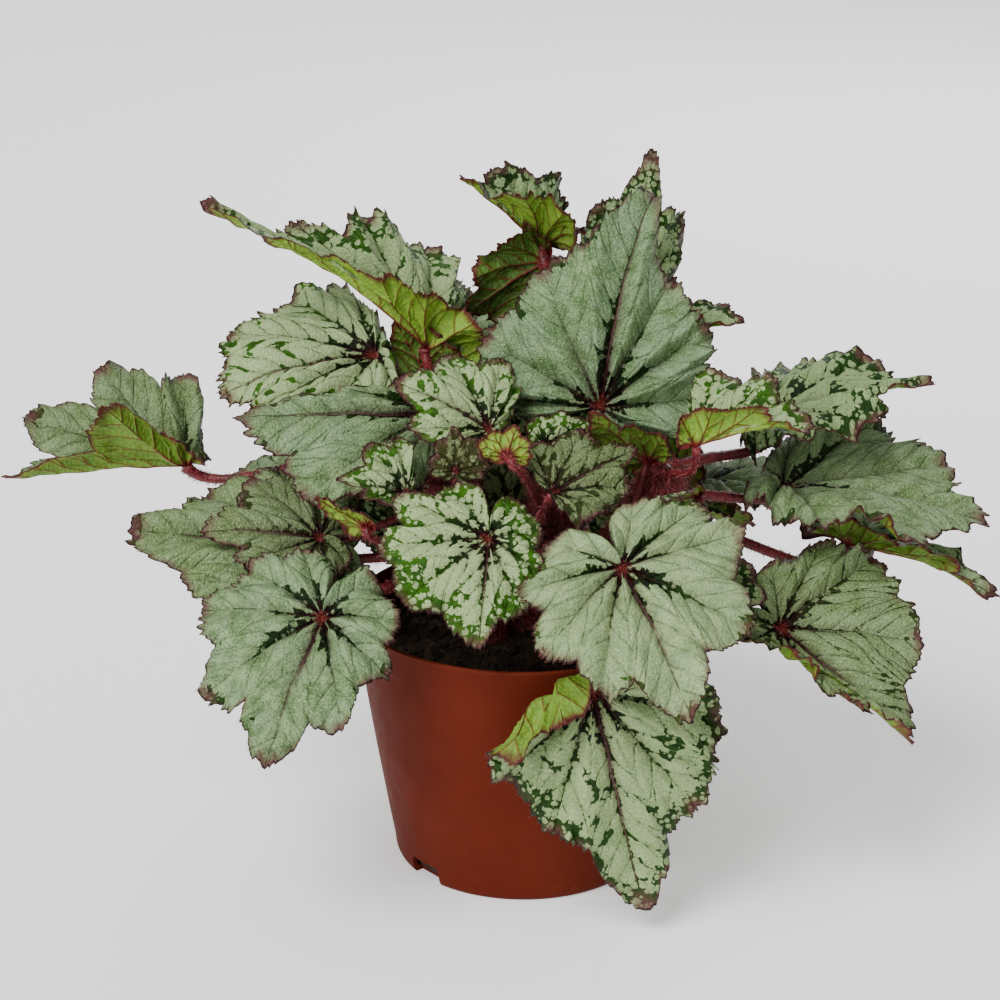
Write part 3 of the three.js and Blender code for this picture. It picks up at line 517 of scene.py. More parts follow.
# Young leaves that fill the heart of the plant.
LEAVES += [
    one_leaf("young_middle_low", (-4, 24, 119), (-0.35, 0.2, 0.9), (0.1, -0.9, 0.4), 27, (9, 11, 120),
             silver=0.5, pale=-0.8),
    one_leaf("young_middle_right", (24, 14, 122), (0.2, 0.3, 0.9), (-0.2, -0.9, 0.4), 20, (11, 11, 124),
             silver=0.5, pale=0.5),
    one_leaf("young_middle_top", (17, 18, 153), (0.1, 0.2, 0.95), (0, -0.9, 0.4), 17, (14, 13, 146),
             silver=0.3, pale=0.6),
    one_leaf("young_folded", (-52, -40, 136), (-0.8, -0.1, 0.55), (0.2, 0.85, 0.45), 21, (-19, -4, 106),
             left=0.4, right=0.45, back=0.2, under=0.2, behind=0, silver=0.5, lime=0.9),
    one_leaf("young_left", (-42, 8, 117), (-0.5, 0.1, 0.8), (0, -0.9, 0.4), 25, (-21, -4, 122),
             silver=0.5, pale=0.2),
    one_leaf("young_left_high", (-33, 2, 146), (-0.2, 0.3, 0.9), (0, 0.9, 0.3), 17, (-24, -3, 136),
             under=0.4, behind=0, silver=0.4, lime=0.4),
    one_leaf("young_middle_high", (-4, 12, 148), (0.15, 0.25, 0.95), (0, -0.9, 0.4), 22, (12, 12, 138),
             silver=0.5, pale=0.6),
    one_leaf("young_right_high", (52, 14, 134), (0.2, 0.25, 0.9), (0, 0.9, 0.3), 20, (44, -5, 136),
             under=0.4, behind=0, silver=0.4, lime=0.5),
    one_leaf("young_top", (8, 42, 205), (-0.8, -0.1, -0.5), (0.2, 0.8, 0.5), 37, (14, 13, 146), left=0.85,
             right=0.8, back=0.3, under=0.5, behind=0, silver=0.4, lime=0.2),
    one_leaf("young_right", (44, 6, 134), (0.1, 0.3, 0.9), (0, -0.9, 0.4), 18, (36, -5, 120), silver=0.3,
             pale=0.2),
    one_leaf("young_left_top", (-33, 22, 167), (-0.45, 0.1, 0.88), (0, 0.9, 0.3), 25, (-26, -2, 156),
             under=0.3, behind=0, silver=0.3, lime=0.25),
    one_leaf("young_left_back", (-30, 26, 146), (-0.6, 0.2, 0.75), (0, -0.9, 0.4), 28, (-25, -3, 142),
             silver=0.3, pale=0),
]
for number, leaf in enumerate(LEAVES):
    leaf["number"] = number


def mirrored(half):
    """One half's lobes on the other side of the midrib, from left to right."""
    return [[-degrees, reach] for degrees, reach in half[::-1]]


def outline_corners(leaf):
    """The outline's corners in order, cleft, tip, notch, tip ... cleft, as [degrees, reach]. A notch
    lies half way between two tips, and every corner but the leaf's tip and cleft is shifted by chance."""
    left, right = (NARROW_HALF, WIDE_HALF) if leaf["wide"] > 0 else (WIDE_HALF, NARROW_HALF)
    lobes = leaf["lobes"] or mirrored(left) + [[0, 1]] + right
    corners = [[-180, BASE_REACH], lobes[0]]
    for (before, reach_before), (degrees, reach) in zip(lobes, lobes[1:]):
        share = leaf["notch"] + FULLER - (TIP_NOTCH_DEEPER if 0 in (before, degrees) else 0)
        corners += [[(before + degrees) / 2, share * (reach_before + reach) / 2], [degrees, reach]]
    corners = np.array(corners + [[180, BASE_REACH]], float)
    draw = np.random.default_rng(700 + leaf["number"])
    free = (np.abs(corners[:, 0]) < 170) & (corners[:, 0] != 0)
    corners[:, 0] += free * draw.uniform(-LOBE_TURN, LOBE_TURN, len(corners))
    corners[:, 1] *= 1 + free * draw.uniform(-LOBE_STRETCH, LOBE_STRETCH, len(corners))
    return corners


def span_of(leaf, place):
    """The number of the span that a place lies in. A place is a corner's number plus a share of the
    way to the next corner, and a span runs from one corner to the next."""
    return np.clip(np.floor(place).astype(int), 0, leaf["last"] - 1)


def tip_of(span):
    """The number of the lobe's tip at one end of a span: the odd corners are tips."""
    return np.where(span % 2 == 1, span, span + 1)


def outline(leaf, place):
    """Degrees and reach at a place. From a lobe's tip to a notch the reach falls as a power of the
    share of the way."""
    corners, span = leaf["corners"], span_of(leaf, place)
    tip = tip_of(span)
    notch = 2 * span + 1 - tip
    power = np.where((span == 0) | (span == leaf["last"] - 1), CLEFT_CURVE,
                     np.where(corners[tip, 0] == 0, leaf["point"], LOBE_CURVE))
    reach = corners[tip, 1] - (corners[tip, 1] - corners[notch, 1]) * np.abs(place - tip) ** power
    return corners[span, 0] + (place - span) * (corners[span + 1, 0] - corners[span, 0]), reach


def edge_table(leaf):
    """How far the edge stands out of the lobes' smooth outline, as a share of the reach, at each
    column of the blade's grid: a slanting or blunt tooth to every four columns and two small lobes
    to each span, all of drawn sizes, and a little unevenness. Both ends of it are the same spot."""
    draw = np.random.default_rng(100 + leaf["number"])
    steps = np.arange(leaf["last"] * leaf["columns"] + 1)
    number = np.minimum(steps // leaf["columns"], leaf["last"] - 1)
    share = steps / leaf["columns"] - number
    from_tip = np.where(number % 2 == 1, share, 1 - share)
    count = leaf["columns"] / 4
    tooth = np.minimum(from_tip * count, count - 1e-6)
    phase = tooth % 1
    sizes = draw.uniform(0.2, 1.0, (leaf["last"], 8)) ** 1.4
    slanting = np.where(phase < 0.25, phase / 0.25, (1 - phase) / 0.75)
    bluntness = draw.uniform(0, 1, (leaf["last"], 8))[number, tooth.astype(int)]
    height = slanting + bluntness * (np.sin(np.pi * phase) - slanting)
    height *= sizes[number, tooth.astype(int)]
    run = 2 * np.pi * steps / steps[-1]
    turns = draw.integers(5, 15, 4)
    patchy = np.sin(turns * run[:, None] + draw.uniform(0, 2 * np.pi, 4)).mean(-1)
    height *= np.clip(0.62 + 1.3 * patchy, 0.12, 1.15)
    swell = 1 - np.abs(2 * (2 * from_tip % 1) - 1)
    swell *= draw.uniform(0.0, 1.0, (leaf["last"], 3))[number, (2 * from_tip).astype(int)]
    table = TOOTH_HEIGHT * height + SMALL_LOBE_HEIGHT * swell - EDGE_INSET
    table += EDGE_UNEVEN * draw.normal(0, 1, len(steps))
    table[from_tip < 0.04] += 0.03
    table[0] = table[-1] = 0.0
    return table


def crinkle(leaf, place, count, spread):
    """A drawn wave round the leaf's edge, about 1 high, the same at both ends of the outline."""
    draw = np.random.default_rng(300 + leaf["number"] + 50 * count)
    turns = count + draw.integers(-spread, spread + 1, 5)
    start = draw.uniform(0, 2 * np.pi, 5)
    run = 2 * np.pi * place / leaf["last"]
    return np.sin(turns * run[..., None] + start).mean(-1) * 1.6


def drift(x, y, pitch, seed):
    """A smooth drawn unevenness over the flat leaf, about 1 high: a sum of waves in drawn directions,
    with pitch waves to each centimetre."""
    draw = np.random.default_rng(seed)
    way = draw.uniform(0, 2 * np.pi, 7)
    rate = 2 * np.pi * pitch * draw.uniform(0.6, 1.5, 7)
    start = draw.uniform(0, 2 * np.pi, 7)
    waves = np.sin(rate * (x[..., None] * np.cos(way) + y[..., None] * np.sin(way)) + start)
    return waves.mean(-1) * 1.7


def flat_outline(leaf, place, share):
    """The flat leaf's sideways and forwards places in centimetres, teeth included, and the angle from
    the midrib, for a share of the way from the stalk to a place on the outline."""
    degrees, reach = outline(leaf, place)
    angle = np.radians(degrees)
    toothed = np.interp(place * leaf["columns"], np.arange(len(leaf["edge"])), leaf["edge"])
    size = share * reach * (1 + np.clip((share - 0.5) / 0.5, 0, 1) ** 2 * toothed)
    forwards = size * np.cos(angle)
    sideways = size * np.sin(angle)
    sideways = sideways * np.where(sideways < 0, leaf["left"], leaf["right"])
    sideways *= 1 - leaf["taper"] * np.maximum(0, forwards)
    sideways += leaf["lean"] * np.maximum(0, forwards) ** 3
    forwards = forwards * np.where(forwards < 0, leaf["back"], 1)
    return 0.1 * leaf["long"] * sideways, 0.1 * leaf["long"] * forwards, angle


def vein_frame(leaf, place, share, span):
    """Where a flat point lies among the veins, in centimetres: along the main vein of its span's
    lobe, away from it, and its run, which grows by 1 from one side vein to the next. Side veins slant
    and bend towards the tip, and each span's start at a drawn place."""
    x, y, _ = flat_outline(leaf, place, share)
    vein_x, vein_y, _ = flat_outline(leaf, tip_of(span).astype(float), np.maximum(share, 0.05))
    size = np.hypot(vein_x, vein_y)
    along = (x * vein_x + y * vein_y) / size
    beside = (x * vein_y - y * vein_x) / size
    wander = 0.05 * np.clip(along - 0.3, 0, 1) * drift(x, y, 0.45, 11 + leaf["number"])
    away = np.abs(beside + wander)
    slant = along - away * (1.15 + 0.12 * away) + 0.09 * drift(x, y, 0.5, 31 + leaf["number"])
    return along, away, slant / leaf["spacing"] + 3 * leaf["drawn"][span] + 20


def flat_leaf(leaf, place, share):
    """The flat leaf with its pleats, its waved and crinkled edge, its shallow dish and the puckers
    between its veins, as sideways, forwards and up, in metres."""
    place, share = np.broadcast_arrays(np.asarray(place, float), np.asarray(share, float))
    sideways, forwards, angle = flat_outline(leaf, place, share)
    tenths = 0.1 * leaf["long"]
    clear = np.minimum(1, np.hypot(sideways, forwards) / tenths / STILL_ZONE)
    up = (leaf["pleat"] + 0.012) * share * np.minimum(1, 0.35 + 2.2 * (1 - share)) * np.cos(np.pi * place)
    up += leaf["wave"] * clear * share ** 3 * np.sin(leaf["waves"] * angle + 2 * leaf["number"])
    up += leaf["dish"] * np.sin(np.pi * share)
    for height, power, count, spread in CRINKLES:
        up += clear * height * share ** power * crinkle(leaf, place, count, spread)
    up *= tenths
    span = span_of(leaf, place)
    along, away, run = vein_frame(leaf, place, share, span)
    fork = np.clip(FORK_SLOPE * (away - FORK_AWAY), 0, FORK_MOST)
    beside = np.abs(np.abs(run % 1 - 0.5) - fork) * leaf["spacing"] * VEIN_SHRINK
    puff = np.minimum(1, beside / 0.17) ** 0.8 * np.minimum(1, away / 0.2) * np.clip(along / 0.6, 0, 1)
    seam = np.clip((1 - np.abs(place - tip_of(span))) / 0.16, 0, 1)
    inside = np.clip((1 - share) / 0.22, 0.25, 1)
    up += leaf["puff"] * inside * (SEAM_PUFF * puff * seam + VEIN_PUFF * np.minimum(1, away / 0.28) ** 0.7)
    for height, pitch, seed in SWELLS:
        up += leaf["puff"] * clear * height * drift(sideways, forwards, pitch, seed + leaf["number"])
    return 0.01 * sideways, 0.01 * forwards, 0.01 * up


def rolled(point, bend, long):
    """Rolls the blade about a line across one direction, without stretching it: past the line the
    distance along that direction is wound on a circle, and what is left runs straight on."""
    sideways, forwards, up = point
    towards, start, over, degrees = bend
    angle, turn = math.radians(towards), math.radians(degrees)
    along = sideways * math.sin(angle) + forwards * math.cos(angle)
    across = sideways * math.cos(angle) - forwards * math.sin(angle)
    start, over = start * long, over * long
    radius = over / turn
    wound = np.minimum(np.abs((along - start) / radius), abs(turn)) * math.copysign(1, turn)
    beyond = np.maximum(0, along - start - over)
    place = start + (radius - up) * np.sin(wound) + beyond * np.cos(wound)
    height = radius - (radius - up) * np.cos(wound) + beyond * np.sin(wound)
    moved = along > start
    place, height = np.where(moved, place, along), np.where(moved, height, up)
    return (place * math.sin(angle) + across * math.cos(angle),
            place * math.cos(angle) - across * math.sin(angle), height)


def unit(vector):
    """Vectors scaled to a length of 1."""
    vector = np.asarray(vector, float)
    return vector / np.maximum(np.linalg.norm(vector, axis=-1, keepdims=True), 1e-12)


def leaf_axes(leaf):
    """The leaf's sideways direction, midrib and upward normal."""
    midrib = unit(leaf["toward"])
    normal = np.array(leaf["facing"], float)
    normal = unit(normal - normal @ midrib * midrib)
    return np.cross(midrib, normal), midrib, normal


def blade_points(leaf, place, share, lift):
    """Points of the blade in metres: the flat leaf, lifted to one of its faces, rolled, and set on
    its stalk along the leaf's own axes."""
    sideways, forwards, up = flat_leaf(leaf, place, share)
    point = (sideways, forwards, up + lift)
    for bend in leaf["bends"]:
        point = rolled(point, bend, 0.001 * leaf["long"])
    spread = sum(part[..., None] * axis for part, axis in zip(point, leaf_axes(leaf)))
    return 0.001 * np.array(leaf["at"]) + spread


def corner_map(mesh, name, first, second=0.0):
    """A named UV map from a pair of numbers for each corner of each face."""
    layer = mesh.uv_layers.new(name=name, do_init=False)
    pairs = np.stack([np.broadcast_to(part, len(mesh.loops)) for part in (first, second)], -1)
    layer.uv.foreach_set("vector", np.ascontiguousarray(pairs, dtype=np.float32).ravel())


def grid_quads(start, columns, rings):
    """The quads of a grid whose spots are numbered from start, ring by ring within each column."""
    here = start + np.arange(columns)[:, None] * rings + np.arange(rings - 1)
    return np.stack([here, here + 1, here + rings + 1, here + rings], -1).reshape(-1, 4)


def blade_grid(leaf):
    """The places and shares of a blade's spots, the spots that each stands for once the cleft's two
    sides are one, its quads, its triangles and its rim's pairs of spots. From the stalk out there is
    a fan, then rings of coarse columns, a ring of triangles that doubles the columns, and rings of
    fine columns out to the teeth."""
    fine = leaf["last"] * leaf["columns"]
    coarse = fine // 2
    inner = np.linspace(0, 0.5, 10)[1:]
    outer = 0.5 + 0.5 * (1 - (1 - np.arange(1, 13) / 12) ** 1.35)
    rings, edge_rings = len(inner), len(outer)
    middle = np.arange(coarse)
    column_in, ring_in = np.indices((coarse + 1, rings)).reshape(2, -1)
    column_out, ring_out = np.indices((fine + 1, edge_rings)).reshape(2, -1)
    place = np.concatenate([(middle + 0.5) * 2, column_in * 2, column_out]) / leaf["columns"]
    share = np.concatenate([0.0 * middle, inner[ring_in], outer[ring_out]])
    stands_for = np.concatenate([0 * middle, 1 + column_in % coarse * rings + ring_in,
                                 1 + coarse * rings + column_out % fine * edge_rings + ring_out])
    first = coarse + middle * rings
    last = first + rings - 1
    start_out = coarse + (coarse + 1) * rings
    outside = start_out + 2 * middle * edge_rings
    triangles = np.concatenate([
        np.stack([middle, first, first + rings], -1),
        np.stack([last, outside, outside + edge_rings], -1),
        np.stack([last, outside + edge_rings, last + rings], -1),
        np.stack([last + rings, outside + edge_rings, outside + 2 * edge_rings], -1)])
    quads = np.concatenate([grid_quads(coarse, coarse, rings), grid_quads(start_out, fine, edge_rings)])
    edge = start_out + (np.arange(fine) + 1) * edge_rings - 1
    return place, share, stands_for, quads, triangles, np.stack([edge, edge + edge_rings], -1)


def blade(leaf):
    """One leaf: an upper and a lower face on the same grid, joined by a rim. Its maps hold the flat
    leaf; the run and the way from the main vein; the way along it and the share of the reach; the
    way to the edge and the vein's weight; the leaf's own looks; and the side veins' spacing."""
    place, share, stands_for, quads, triangles, rim = blade_grid(leaf)
    count = stands_for.max() + 1
    spot = np.empty(count, int)
    spot[stands_for[::-1]] = np.arange(len(stands_for))[::-1]
    lift = (1 - THIN_AT_EDGE * share[spot] ** 3) * BLADE_THICK / 2
    points = np.concatenate([blade_points(leaf, place[spot], share[spot], side * lift) for side in (1, -1)])
    low = stands_for + count
    edge = np.stack([stands_for[rim[:, 0]], stands_for[rim[:, 1]], low[rim[:, 1]], low[rim[:, 0]]], -1)
    made = piece(leaf["name"] + "_blade", points, stands_for[quads][:, ::-1], stands_for[triangles][:, ::-1],
                 low[quads], low[triangles], edge)

    parts = [quads[:, ::-1], triangles[:, ::-1], quads, triangles, rim[:, [0, 1, 1, 0]]]
    spans = span_of(leaf, np.concatenate([np.repeat(place[part].mean(1), part.shape[1]) for part in parts]))
    corner = np.concatenate([part.ravel() for part in parts])
    places, shares = place[corner], share[corner]
    x, y, _ = flat_outline(leaf, places, shares)
    brim_x, brim_y, _ = flat_outline(leaf, places, np.ones_like(shares))
    along, away, run = vein_frame(leaf, places, shares, spans)
    tip_degrees = np.abs(leaf["corners"][tip_of(spans), 0])
    weight = np.interp(tip_degrees, [0, 15, 60, 150], [1.0, 0.62, 0.52, 0.42])
    weight *= np.interp(leaf["long"], [10, 40, 80], [0.45, 0.8, 1.05])
    mesh = made.data
    corner_map(mesh, "flat", x + 3.7 * leaf["number"], y + 1.9 * leaf["number"])
    corner_map(mesh, "vein", run * leaf["spacing"], away)
    corner_map(mesh, "reach", along, shares)
    corner_map(mesh, "brim", np.hypot(brim_x - x, brim_y - y), weight)
    corner_map(mesh, "look", leaf["silver"], leaf["lime"])
    corner_map(mesh, "tint", leaf["pale"], leaf["drawn"][spans])
    corner_map(mesh, "pitch", leaf["spacing"])
    for each in (leaf_top, leaf_under, leaf_rim):
        mesh.materials.append(each)
    half = len(quads) + len(triangles)
    slots = np.repeat([0, 1, 2], [half, half, len(rim)])
    mesh.polygons.foreach_set("material_index", slots.astype(np.int32))
    return made


def group(name, **inputs):
    """An empty node group with float inputs, and the fields of those inputs."""
    made = bpy.data.node_groups.new(name, "ShaderNodeTree")
    for each, value in inputs.items():
        made.interface.new_socket(each, in_out="INPUT", socket_type="NodeSocketFloat").default_value = value
    return made, outputs(made, "NodeGroupInput")


def give(made, **fields):
    """Gives a node group one output for each named field."""
    for name in fields:
        made.interface.new_socket(name, in_out="OUTPUT", socket_type="NodeSocketFloat")
    ends = made.nodes.new("NodeGroupOutput").inputs
    for name, value in fields.items():
        made.links.new(value.socket, ends[name])


def read_map(tree, name):
    """The two numbers of a UV map."""
    found = outputs(tree, "ShaderNodeSeparateXYZ", {0: outputs(tree, "ShaderNodeUVMap", uv_map=name)[0]})
    return found[0], found[1]


def flat_place(tree):
    """The place on the flat leaf, in centimetres."""
    return outputs(tree, "ShaderNodeUVMap", uv_map="flat")[0]


def centred(vector, scale, detail=3.0, rough=0.6):
    """Noise about zero, from -0.5 to 0.5."""
    return noise(vector, scale, detail, rough) - 0.5


def least(first, second):
    """The smaller of a field and another field or a number."""
    return calc("MINIMUM", first, second)


def most(first, second):
    """The larger of a field and another field or a number."""
    return calc("MAXIMUM", first, second)


# Veins: a main vein runs to each lobe's tip, side veins leave it on both sides, bend towards the
# tip and fork once, and a fine net fills the rest. Ridge is how high all of them stand.
leaf_veins, given = group("leaf_veins", Width=1.0)
flat = flat_place(leaf_veins)
run, away = read_map(leaf_veins, "vein")
along, share = read_map(leaf_veins, "reach")
_, weight = read_map(leaf_veins, "brim")
spacing, _ = read_map(leaf_veins, "pitch")
shiver = 0.05 * centred(flat, 4.5, 2)
away = abs(away + shiver * smooth(share, 0.05, 0.4))
width = weight * given["Width"] * smooth(share, 0.0, 1.0, 0.074, 0.020)
main = smooth(away / width, 0.45, 1.2, 1.0, 0.0)
from_side = abs(calc("FRACT", (run + shiver) / spacing) - 0.5)
fork = least(most(FORK_SLOPE * (away - FORK_AWAY), 0.0), FORK_MOST)
side_away = VEIN_SHRINK * abs(from_side - fork) * spacing
side_width = given["Width"] * smooth(away, 0.0, 1.6, 0.034, 0.014) * smooth(weight, 0.3, 1.0, 0.6, 1.0)
side = smooth(side_away / side_width, 0.4, 1.35, 1.0, 0.0) * smooth(along, 0.1, 0.5)
cells = outputs(leaf_veins, "ShaderNodeTexVoronoi", {"Vector": flat, "Scale": 4.6},
                voronoi_dimensions="2D", feature="DISTANCE_TO_EDGE")["Distance"]
ridge = smooth(away / width, 0.0, 1.9, 1.0, 0.0) + 0.25 * smooth(cells, 0.0, 0.3, 1.0, 0.0)
ridge = ridge + 0.55 * smooth(side_away / side_width, 0.0, 3.0, 1.0, 0.0)
give(leaf_veins, Main=main, Side=side, Net=smooth(cells, 0.0, 0.1, 1.0, 0.0), Away=away,
     Side_Away=side_away, Ridge=ridge)

# The top: silver in blotches that run together, cut by dark flanks along the veins near the stalk,
# broken into round spots towards the edge, with green and purple ground between them.
GREEN_AT_STALK, GREEN_DARK, GREEN_FRESH = srgb(12, 22, 9), srgb(24, 58, 4), srgb(52, 98, 4)
GREEN_CLOUD, GREEN_KHAKI, GROUND_AT_STALK = srgb(22, 44, 9), srgb(52, 50, 20), srgb(34, 12, 12)
SILVER_LOW, SILVER_HIGH, SILVER_CLOUD = srgb(80, 110, 62), srgb(132, 156, 112), srgb(130, 156, 122)
SILVER_STREAK, SILVER_GREEN, SILVER_PALE = srgb(74, 102, 54), srgb(150, 172, 110), srgb(168, 188, 132)
KHAKI, KHAKI_DARK = srgb(122, 130, 68), srgb(84, 90, 48)
POWDER_AND_GLINT, PORES = srgb(180, 200, 158), srgb(52, 78, 36)
NET_GREEN, SIDE_VEIN_AND_SHADE, VEIN_HALO = srgb(64, 86, 46), srgb(44, 58, 32), srgb(84, 60, 58)
VEIN_AT_STALK, VEIN_PURPLE, VEIN_GREEN = srgb(46, 14, 18), srgb(92, 64, 62), srgb(52, 62, 40)
RIM_BLUSH, TIP_BLUSH = srgb(92, 56, 56), srgb(98, 56, 58)
RIM_RED, EYE_RED = srgb(40, 11, 16), srgb(96, 34, 24)
leaf_top, tree, shader = surface("leaf_top", Specular_IOR_Level=0.16)
veins = outputs(tree, "ShaderNodeGroup", node_tree=leaf_veins)
flat = flat_place(tree)
along, share = read_map(tree, "reach")
brim, weight = read_map(tree, "brim")
silver, _ = read_map(tree, "look")
pale, drawn = read_map(tree, "tint")
bare = 1.0 - silver
shade = most(-1.0 * pale, 0.0)
rag = centred(flat, 3.2, 4, 0.62)
fray = centred(flat, 10.0, 3, 0.6)
cloud = centred(flat, 0.8, 2)

# How far a place lies inside the silver: by the dark flanks of the main veins, by the side veins, by
# the leaf's edge, and by round spots of drawn sizes beyond those.
flank_length = 0.16 + 0.50 * drawn + 0.75 * bare
flank = 0.04 + drawn * drawn * drawn * (0.52 - bare) + 0.20 * bare
flank = most(flank * (1.0 - share / flank_length), -0.06)
feather = 0.30 * smooth(veins["Side_Away"], 0.0, 0.14, 1.0, 0.0) * smooth(flank, -0.02, 0.16)
by_main = veins["Away"] + rag * smooth(bare, 0.0, 0.5, 0.36, 0.14) + 0.16 * fray - flank - feather
by_side = veins["Side_Away"] + 0.08 * fray + smooth(bare, 0.0, 0.15, 0.06, 0.0) + 0.16 * rag
by_side = by_side - 0.46 * smooth(cloud, 0.04, 0.18) * (0.03 + bare)
bitten = smooth(noise(flat, 0.95, 2), 0.47, 0.36, 0.0, -0.60)
by_edge = brim + bitten + 0.8 * rag + 3.0 * cloud * (0.08 + bare) - 1.4 * bare + 0.20
shift = outputs(tree, "ShaderNodeTexNoise", {"Vector": flat, "Scale": 6.0, "Detail": 2.0})["Color"]
shift = outputs(tree, "ShaderNodeVectorMath", {0: shift, 1: (0.5, 0.5, 0.5)}, operation="SUBTRACT")[0]
ragged = outputs(tree, "ShaderNodeVectorMath", {0: shift, 1: (0.14, 0.14, 0.0), 2: flat},
                 operation="MULTIPLY_ADD")[0]
spots = outputs(tree, "ShaderNodeTexVoronoi", {"Vector": ragged, "Scale": 4.0}, voronoi_dimensions="2D")
spot_drawn = outputs(tree, "ShaderNodeSeparateXYZ", {0: spots["Color"]})[0]
spot_radius = 0.52 * spot_drawn + 0.30 * bare - 0.08
frost = smooth(most(least(least(by_main, by_side), by_edge), 0.25 * (spot_radius - spots["Distance"])),
               -0.006, 0.014)

# The colours of the ground, of the silver with its powder, whose light specks are partly painted glints,
# and its pores, and of the veins and the edge.
fresh = mix(smooth(pale, 0.6, 0.9), GREEN_DARK, GREEN_FRESH)
ground = painted(mix(smooth(share, 0.2, 0.75), GREEN_AT_STALK, fresh),
                 (smooth(noise(flat, 2.0, 3), 0.35, 0.65, 0.0, 0.6), GREEN_CLOUD),
                 (least(0.8 * shade, 0.9), GREEN_KHAKI),
                 (smooth(share + 0.2 * rag, 0.24, 0.05), GROUND_AT_STALK))
grain = noise(flat, 15, 3, 0.75)
grain_and_glints = grain + 0.7 * noise(flat, 26, 2, 0.6)
mottle = noise(flat, 1.7, 4, 0.6)
beside_veins = outputs(tree, "ShaderNodeCombineXYZ", {0: 5.0 * veins["Side_Away"], 1: along, 2: drawn})[0]
halo = smooth(veins["Away"], 0.02, 0.34, 0.66, 0.0) * smooth(share, 0.9, 0.1) * weight
# Dark lines along the side veins: partly the veins' own colour, partly painted shade in their sunken grooves.
side_vein_and_shade = veins["Side"] * smooth(bare, 0.1, 0.5, 1.0, 0.4)
side_vein_and_shade = side_vein_and_shade * smooth(centred(flat, 1.1, 2), -0.15, 0.15, 0.08, 0.55)
silvery = painted(mix(smooth(mottle, 0.34, 0.66), SILVER_LOW, SILVER_HIGH),
                  (smooth(noise(flat, 0.7, 3), 0.42, 0.62, 0.0, 0.6), SILVER_CLOUD),
                  (smooth(noise(beside_veins, 2.4, 3), 0.4, 0.66, 0.0, 0.55), SILVER_STREAK),
                  (smooth(bare, 0.1, 0.5, 0.0, 0.55), SILVER_GREEN),
                  (smooth(pale + 0.9 * (mottle - 0.5), 0.3, 1.15, 0.0, 0.8), SILVER_PALE),
                  (least(0.85 * shade, 0.9), mix(smooth(shade, 0.25, 0.8), KHAKI, KHAKI_DARK)),
                  # Light specks: the silver's own powdery grain, and partly painted glints.
                  (smooth(grain_and_glints, 0.86, 1.05, 0.0, 0.6), POWDER_AND_GLINT),
                  (smooth(grain_and_glints, 0.83, 0.62, 0.0, 0.62), PORES),
                  (0.16 * veins["Net"], NET_GREEN),
                  (side_vein_and_shade, SIDE_VEIN_AND_SHADE),
                  (halo, VEIN_HALO))
purple = painted(mix(smooth(share, 0.05, 0.5), VEIN_AT_STALK, VEIN_PURPLE),
                 (smooth(weight, 0.75, 0.6) * smooth(share, 0.12, 0.35), VEIN_GREEN))
strength = smooth(share, 0.10, 0.5, 0.9, 0.22) + 0.25 * drawn + smooth(weight, 0.6, 0.9, 0.0, 0.45)
tinge = smooth(centred(flat, 0.9, 3), -0.10, 0.14, 0.05, 1.0)
tips = smooth(share + 0.10 * rag, 0.88, 0.98) * smooth(veins["Away"], 0.50, 0.12)
colour = painted(mix(frost, ground, silvery),
                 (veins["Main"] * least(strength, 0.92), purple),
                 (smooth(brim + 0.22 * rag, 0.38, 0.04, 0.0, 0.85) * tinge, RIM_BLUSH),
                 (0.65 * tips, TIP_BLUSH),
                 (smooth(brim + 0.20 * fray, 0.10, 0.03, 0.0, 0.92), RIM_RED),
                 (smooth(share + 0.06 * rag, 0.075, 0.03), EYE_RED))
relief = 0.5 * grain + 1.6 * abs(centred(flat, 6.5, 3, 0.6)) - 0.9 * veins["Ridge"] + 0.12 * frost
attach(shader, Base_Color=colour, Normal=bump(relief, 0.85, 0.0009),
       Roughness=smooth(frost, 0.0, 1.0, 0.36, 0.50))

# The underside: lime green to dark olive, with a raised crimson net and a dark red edge. The green is
# partly the underside's own colour and partly painted light: the lime is painted light shining through
# the blade, and the dark olive is painted shade.
SHADED_OLIVE, BACKLIT_LIME, UNDER_CLOUD = srgb(54, 76, 22), srgb(134, 166, 54), srgb(92, 140, 56)
UNDER_NET, UNDER_SIDE_VEIN, UNDER_MAIN_VEIN = srgb(84, 64, 24), srgb(96, 30, 22), srgb(104, 28, 32)
UNDER_BLUSH, UNDER_RIM = srgb(112, 50, 32), srgb(64, 15, 20)
UNDER_TIP, UNDER_EYE = srgb(82, 32, 28), srgb(112, 30, 34)
leaf_under, tree, shader = surface("leaf_under", Roughness=0.5, Specular_IOR_Level=0.22)
veins = outputs(tree, "ShaderNodeGroup", {"Width": 1.25}, node_tree=leaf_veins)
flat = flat_place(tree)
along, share = read_map(tree, "reach")
brim, _ = read_map(tree, "brim")
_, lime = read_map(tree, "look")
mottle = centred(flat, 1.4, 4)
to_rim = brim + 0.24 * centred(flat, 3.0, 3)
tips = smooth(share + 0.12 * mottle, 0.86, 0.96) * smooth(veins["Away"], 0.6, 0.15)
